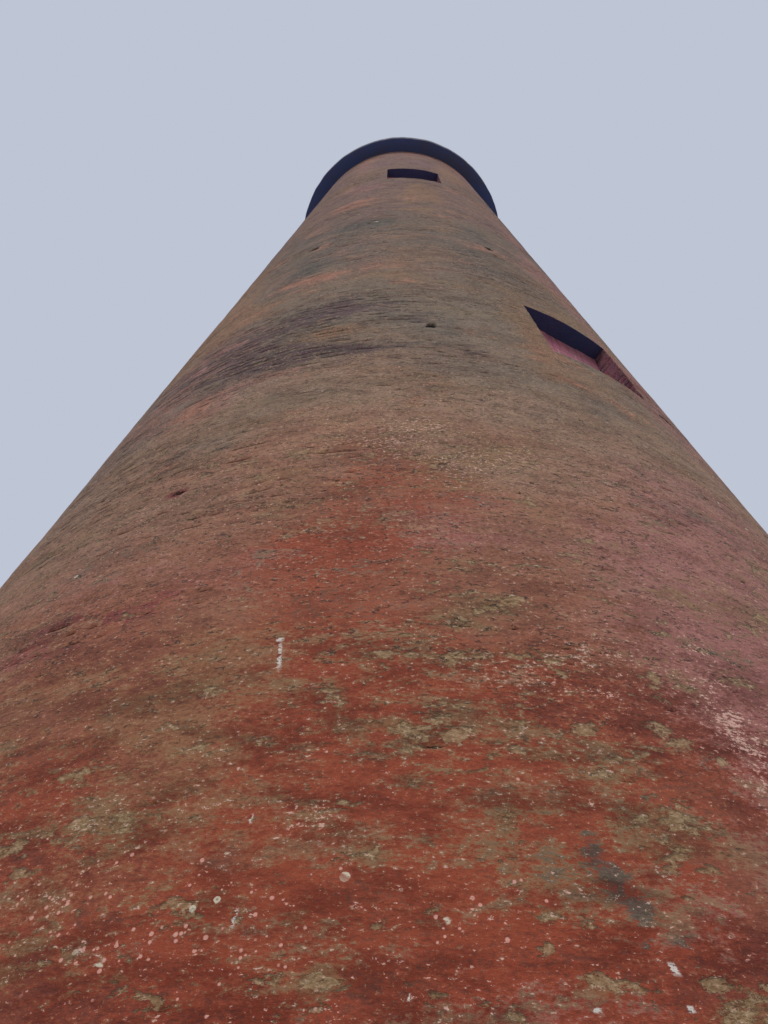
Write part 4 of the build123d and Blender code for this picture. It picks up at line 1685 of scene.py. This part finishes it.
fittings = Kit()
for level in (door_low.z + STRAP_INSET, door_high.z - STRAP_INSET):
    for number in range(STRAP_PIECES):
        aside = HALF_LEAF - 0.04 - 0.09 * number
        fittings.block(on_door(aside, 0.004, level), STRAP_PIECE)
        fittings.stud(on_door(aside, 0.012, level), RIVET)
    knuckle = on_door(HALF_LEAF + 0.004, 0.012, level).translation
    fittings.rod(knuckle - HALF_KNUCKLE * UP, knuckle + HALF_KNUCKLE * UP, 0.014)
handle = on_door(0.07 - HALF_LEAF, HANDLE_OUT, door_low.z + HANDLE_RISE)
fittings.rod(handle @ (-HALF_HANDLE * UP), handle @ (HALF_HANDLE * UP), HANDLE_BAR)
for level in (-HALF_HANDLE, HALF_HANDLE):
    fittings.rod(handle @ (level * UP), handle @ Vector((0, HANDLE_OUT, level)), HANDLE_BAR)
fixed(fittings.object("lantern_door_fittings", RAILING_IRON, 0.0012), "railing_iron")
print("the lantern's door is", round(2 * HALF_LEAF, 3), "m wide")

# %% [markdown]
# Ten tall panes stand between the uprights, each one divided by two thin glazing bars.
# Old glass is not quite clear, so its roughness rises where salt and dust have settled. The transmission
# itself stays at one value.

# %% Glaze the lantern
GLASS_TINT = shade(222, 234, 232)
GLASS_DUST = shade(170, 170, 160)


def salted_glass(name):
    """Clear glass with dust and salt in patches."""
    glass = Finish(name)
    dust = glass.between(glass.noise(2.5, 6.0, 0.7), 0.45, 0.75)
    low_dust = dust * 0.6
    glass.shader.inputs["Transmission Weight"].default_value = 0.9
    glass.shader.inputs["IOR"].default_value = 1.45
    colour = glass.layer(low_dust, GLASS_TINT, GLASS_DUST)
    return glass.done(colour, glass.between(dust, 0, 1, 0.03, 0.35), glass.bump(glass.noise(1.5, 2.0), 0.002))


paint_nodes(salted_glass("lantern_glass"), "lantern_panes")
glazing_low, glazing_high = [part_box("lantern_uprights")[end].z for end in (0, 1)]
half_step = math.pi / PANES
GLAZING_CIRCLE = LANTERN_RADIUS - 0.055
pane_distance = GLAZING_CIRCLE * math.cos(half_step)
pane_width = 2 * GLAZING_CIRCLE * math.sin(half_step) - 0.058
bar = (pane_width, 0.014, 0.026)
edge_bar = (pane_width, 0.018, 0.024)
LIGHTS = 3
glazing_bars = Kit()
for number in range(PANES):
    bearing = number * FULL_TURN / PANES
    for part in range(1, LIGHTS):
        level = glazing_low + (glazing_high - glazing_low) * part / LIGHTS
        for side in (-1, 1):
            glazing_bars.block(facing(bearing, pane_distance + side * 0.010, level), bar)
    for level in (glazing_low + edge_bar[2] / 2, glazing_high - edge_bar[2] / 2):
        glazing_bars.block(facing(bearing, pane_distance + 0.012, level), edge_bar)
fixed(glazing_bars.object("glazing_bars", LANTERN_IRON, 0.0015), "lantern_iron")
print("each pane is", round(pane_width, 3), "m wide, in", LIGHTS, "lights")

# %% [markdown]
# The roof has ten slopes in two pitches, and sheet metal needs a rolled joint wherever two sheets meet.
# Thick rolls run up the ten corners, a thin one runs up the middle of each slope, and another crosses it
# where the pitch changes. A turned collar closes the joint under the ventilator.

# %% Roll the roof's joints
roof_low, roof_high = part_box("lantern_roof")
EAVES_TOP = roof_low.z + 0.05
EAVES_FLATS = -roof_low.y
COLLAR_FLATS = 0.15
KNEE_FLATS = (EAVES_FLATS + COLLAR_FLATS) / 2
KNEE = (EAVES_TOP + roof_high.z) / 2 - 0.09
ROOF_LEVELS = [(EAVES_FLATS, EAVES_TOP), (KNEE_FLATS, KNEE), (COLLAR_FLATS, roof_high.z)]
CORNER_ROLL = 0.017
THIN_ROLL = 0.010
ROLL_SINK = 0.004
COLLAR = [(0.15, -0.03), (0.185, -0.03), (0.165, 0.012), (0.095, 0.02), (0.095, -0.03), (0.15, -0.03)]


def at_corner(number):
    """The points up one corner of the roof."""
    bearing = (number + 0.5) * FULL_TURN / PANES
    reach = [(flats / math.cos(half_step) - ROLL_SINK, level) for flats, level in ROOF_LEVELS]
    return [facing(bearing, distance, level).translation for distance, level in reach]


roof_joints = Kit()
for number in range(PANES):
    corners = at_corner(number)
    bearing = (number + 1) * FULL_TURN / PANES
    middles = [facing(bearing, flats, level).translation for flats, level in ROOF_LEVELS]
    for line, radius in ((corners, CORNER_ROLL), (middles, THIN_ROLL)):
        for low, high in zip(line, line[1:]):
            roof_joints.rod(low, high, radius)
    roof_joints.rod(corners[1], at_corner(number + 1)[1], THIN_ROLL)
roof_joints.turned([(radius, roof_high.z + rise) for radius, rise in COLLAR], 48)
fixed(roof_joints.object("roof_joints", ROOF_METAL), "roof_metal")
print("the roof rises", round(roof_high.z - EAVES_TOP, 2), "m over its eaves")

# %% [markdown]
# The tower stands on a pale floor. It is pale to the camera but darker to the light that bounces off it, so
# that the underside of the slab keeps its depth.

# %% Lay the floor of the stage
FLOOR_PALE = shade(214, 214, 214)
FLOOR_BOUNCE = shade(176, 170, 162)
FLOOR_REACH = 60.0

bpy.context.scene.view_settings.view_transform = "Standard"
ground = Finish("pale_floor")
seen = Value(ground, ground.tree.nodes.new("ShaderNodeLightPath").outputs["Is Camera Ray"])
soft = ground.between(ground.noise(0.4, 3.0), 0.3, 0.7, 0.97, 1.0)
pale = ground.layer(1.0, FLOOR_PALE, soft, blend="MULTIPLY")
ground.done(ground.layer(seen, FLOOR_BOUNCE, pale), 0.9, ground.bump(soft, 0.001))
floor_mesh = bpy.data.meshes.new("pale_floor")
ways = ((-1, -1), (1, -1), (1, 1), (-1, 1))
corners = [(x * FLOOR_REACH, y * FLOOR_REACH, 0) for x, y in ways]
floor_mesh.from_pydata(corners, [], [(0, 1, 2, 3)])
floor_mesh.materials.append(ground.material)
floor = bpy.data.objects.new("pale_floor", floor_mesh)
bpy.context.scene.collection.objects.link(floor)
floor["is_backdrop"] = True
print("the floor reaches", FLOOR_REACH, "m each way")

# %% [markdown]
# The light of the photograph is an overcast sky. It is a plain pale grey-blue where the camera or a
# reflection sees it, or light that has gone through glass, and a little brighter where it lights the tower.

# %% Hang the overcast sky
SKY = shade(190, 197, 213)
SKY_LIGHT = (0.80, 0.85, 0.95, 1.0)
SKY_STRENGTH = 0.77

world = bpy.data.worlds.new("overcast")
bpy.context.scene.world = world
world.use_nodes = True
sky = world.node_tree
sky.nodes.clear()
path = sky.nodes.new("ShaderNodeLightPath")
any_view = path.outputs["Is Camera Ray"]
for ray in ("Is Glossy Ray", "Is Transmission Ray"):
    either = sky.nodes.new("ShaderNodeMath")
    either.operation = "MAXIMUM"
    sky.links.new(any_view, either.inputs[0])
    sky.links.new(path.outputs[ray], either.inputs[1])
    any_view = either.outputs[0]
light, backdrop = [sky.nodes.new("ShaderNodeBackground") for part in ("light", "backdrop")]
light.inputs["Color"].default_value = SKY_LIGHT
light.inputs["Strength"].default_value = SKY_STRENGTH
backdrop.inputs["Color"].default_value = SKY
mixed = sky.nodes.new("ShaderNodeMixShader")
sky.links.new(any_view, mixed.inputs[0])
sky.links.new(light.outputs[0], mixed.inputs[1])
sky.links.new(backdrop.outputs[0], mixed.inputs[2])
sky.links.new(mixed.outputs[0], sky.nodes.new("ShaderNodeOutputWorld").inputs[0])
print("the sky's light has a strength of", SKY_STRENGTH)

# %% [markdown]
# Even an overcast sky is brighter in one part. Two very wide, soft suns stand for the bright cloud that
# models the front of the tower, and for a dimmer one behind it. A wide sun casts no hard shadow.

# %% Light two parts of the clouds


def cloud_light(name, energy, spread, tilt, turn):
    """Light from one bright part of the clouds."""
    data = bpy.data.lights.new(name, "SUN")
    data.energy = energy
    data.angle = math.radians(spread)
    lamp = bpy.data.objects.new(name, data)
    lamp.rotation_euler = (math.radians(tilt), 0, math.radians(turn))
    bpy.context.scene.collection.objects.link(lamp)
    print(name, "gives", energy)


cloud_light("bright_cloud", 1.63, 30, 40, -4)
cloud_light("cloud_behind", 0.60, 60, -45, 20)

# %% [markdown]
# Last, the height of the dressed tower is written down; the CAD tower's size was written down at the start.
# They have to agree, because the dressed wall stays inside the plain one, and the fittings that were added
# stay well inside the tower's box.

# %% Write down the dressed tower's height
low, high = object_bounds()
print("the dressed tower is", round(high.z - low.z, 3), "m tall")
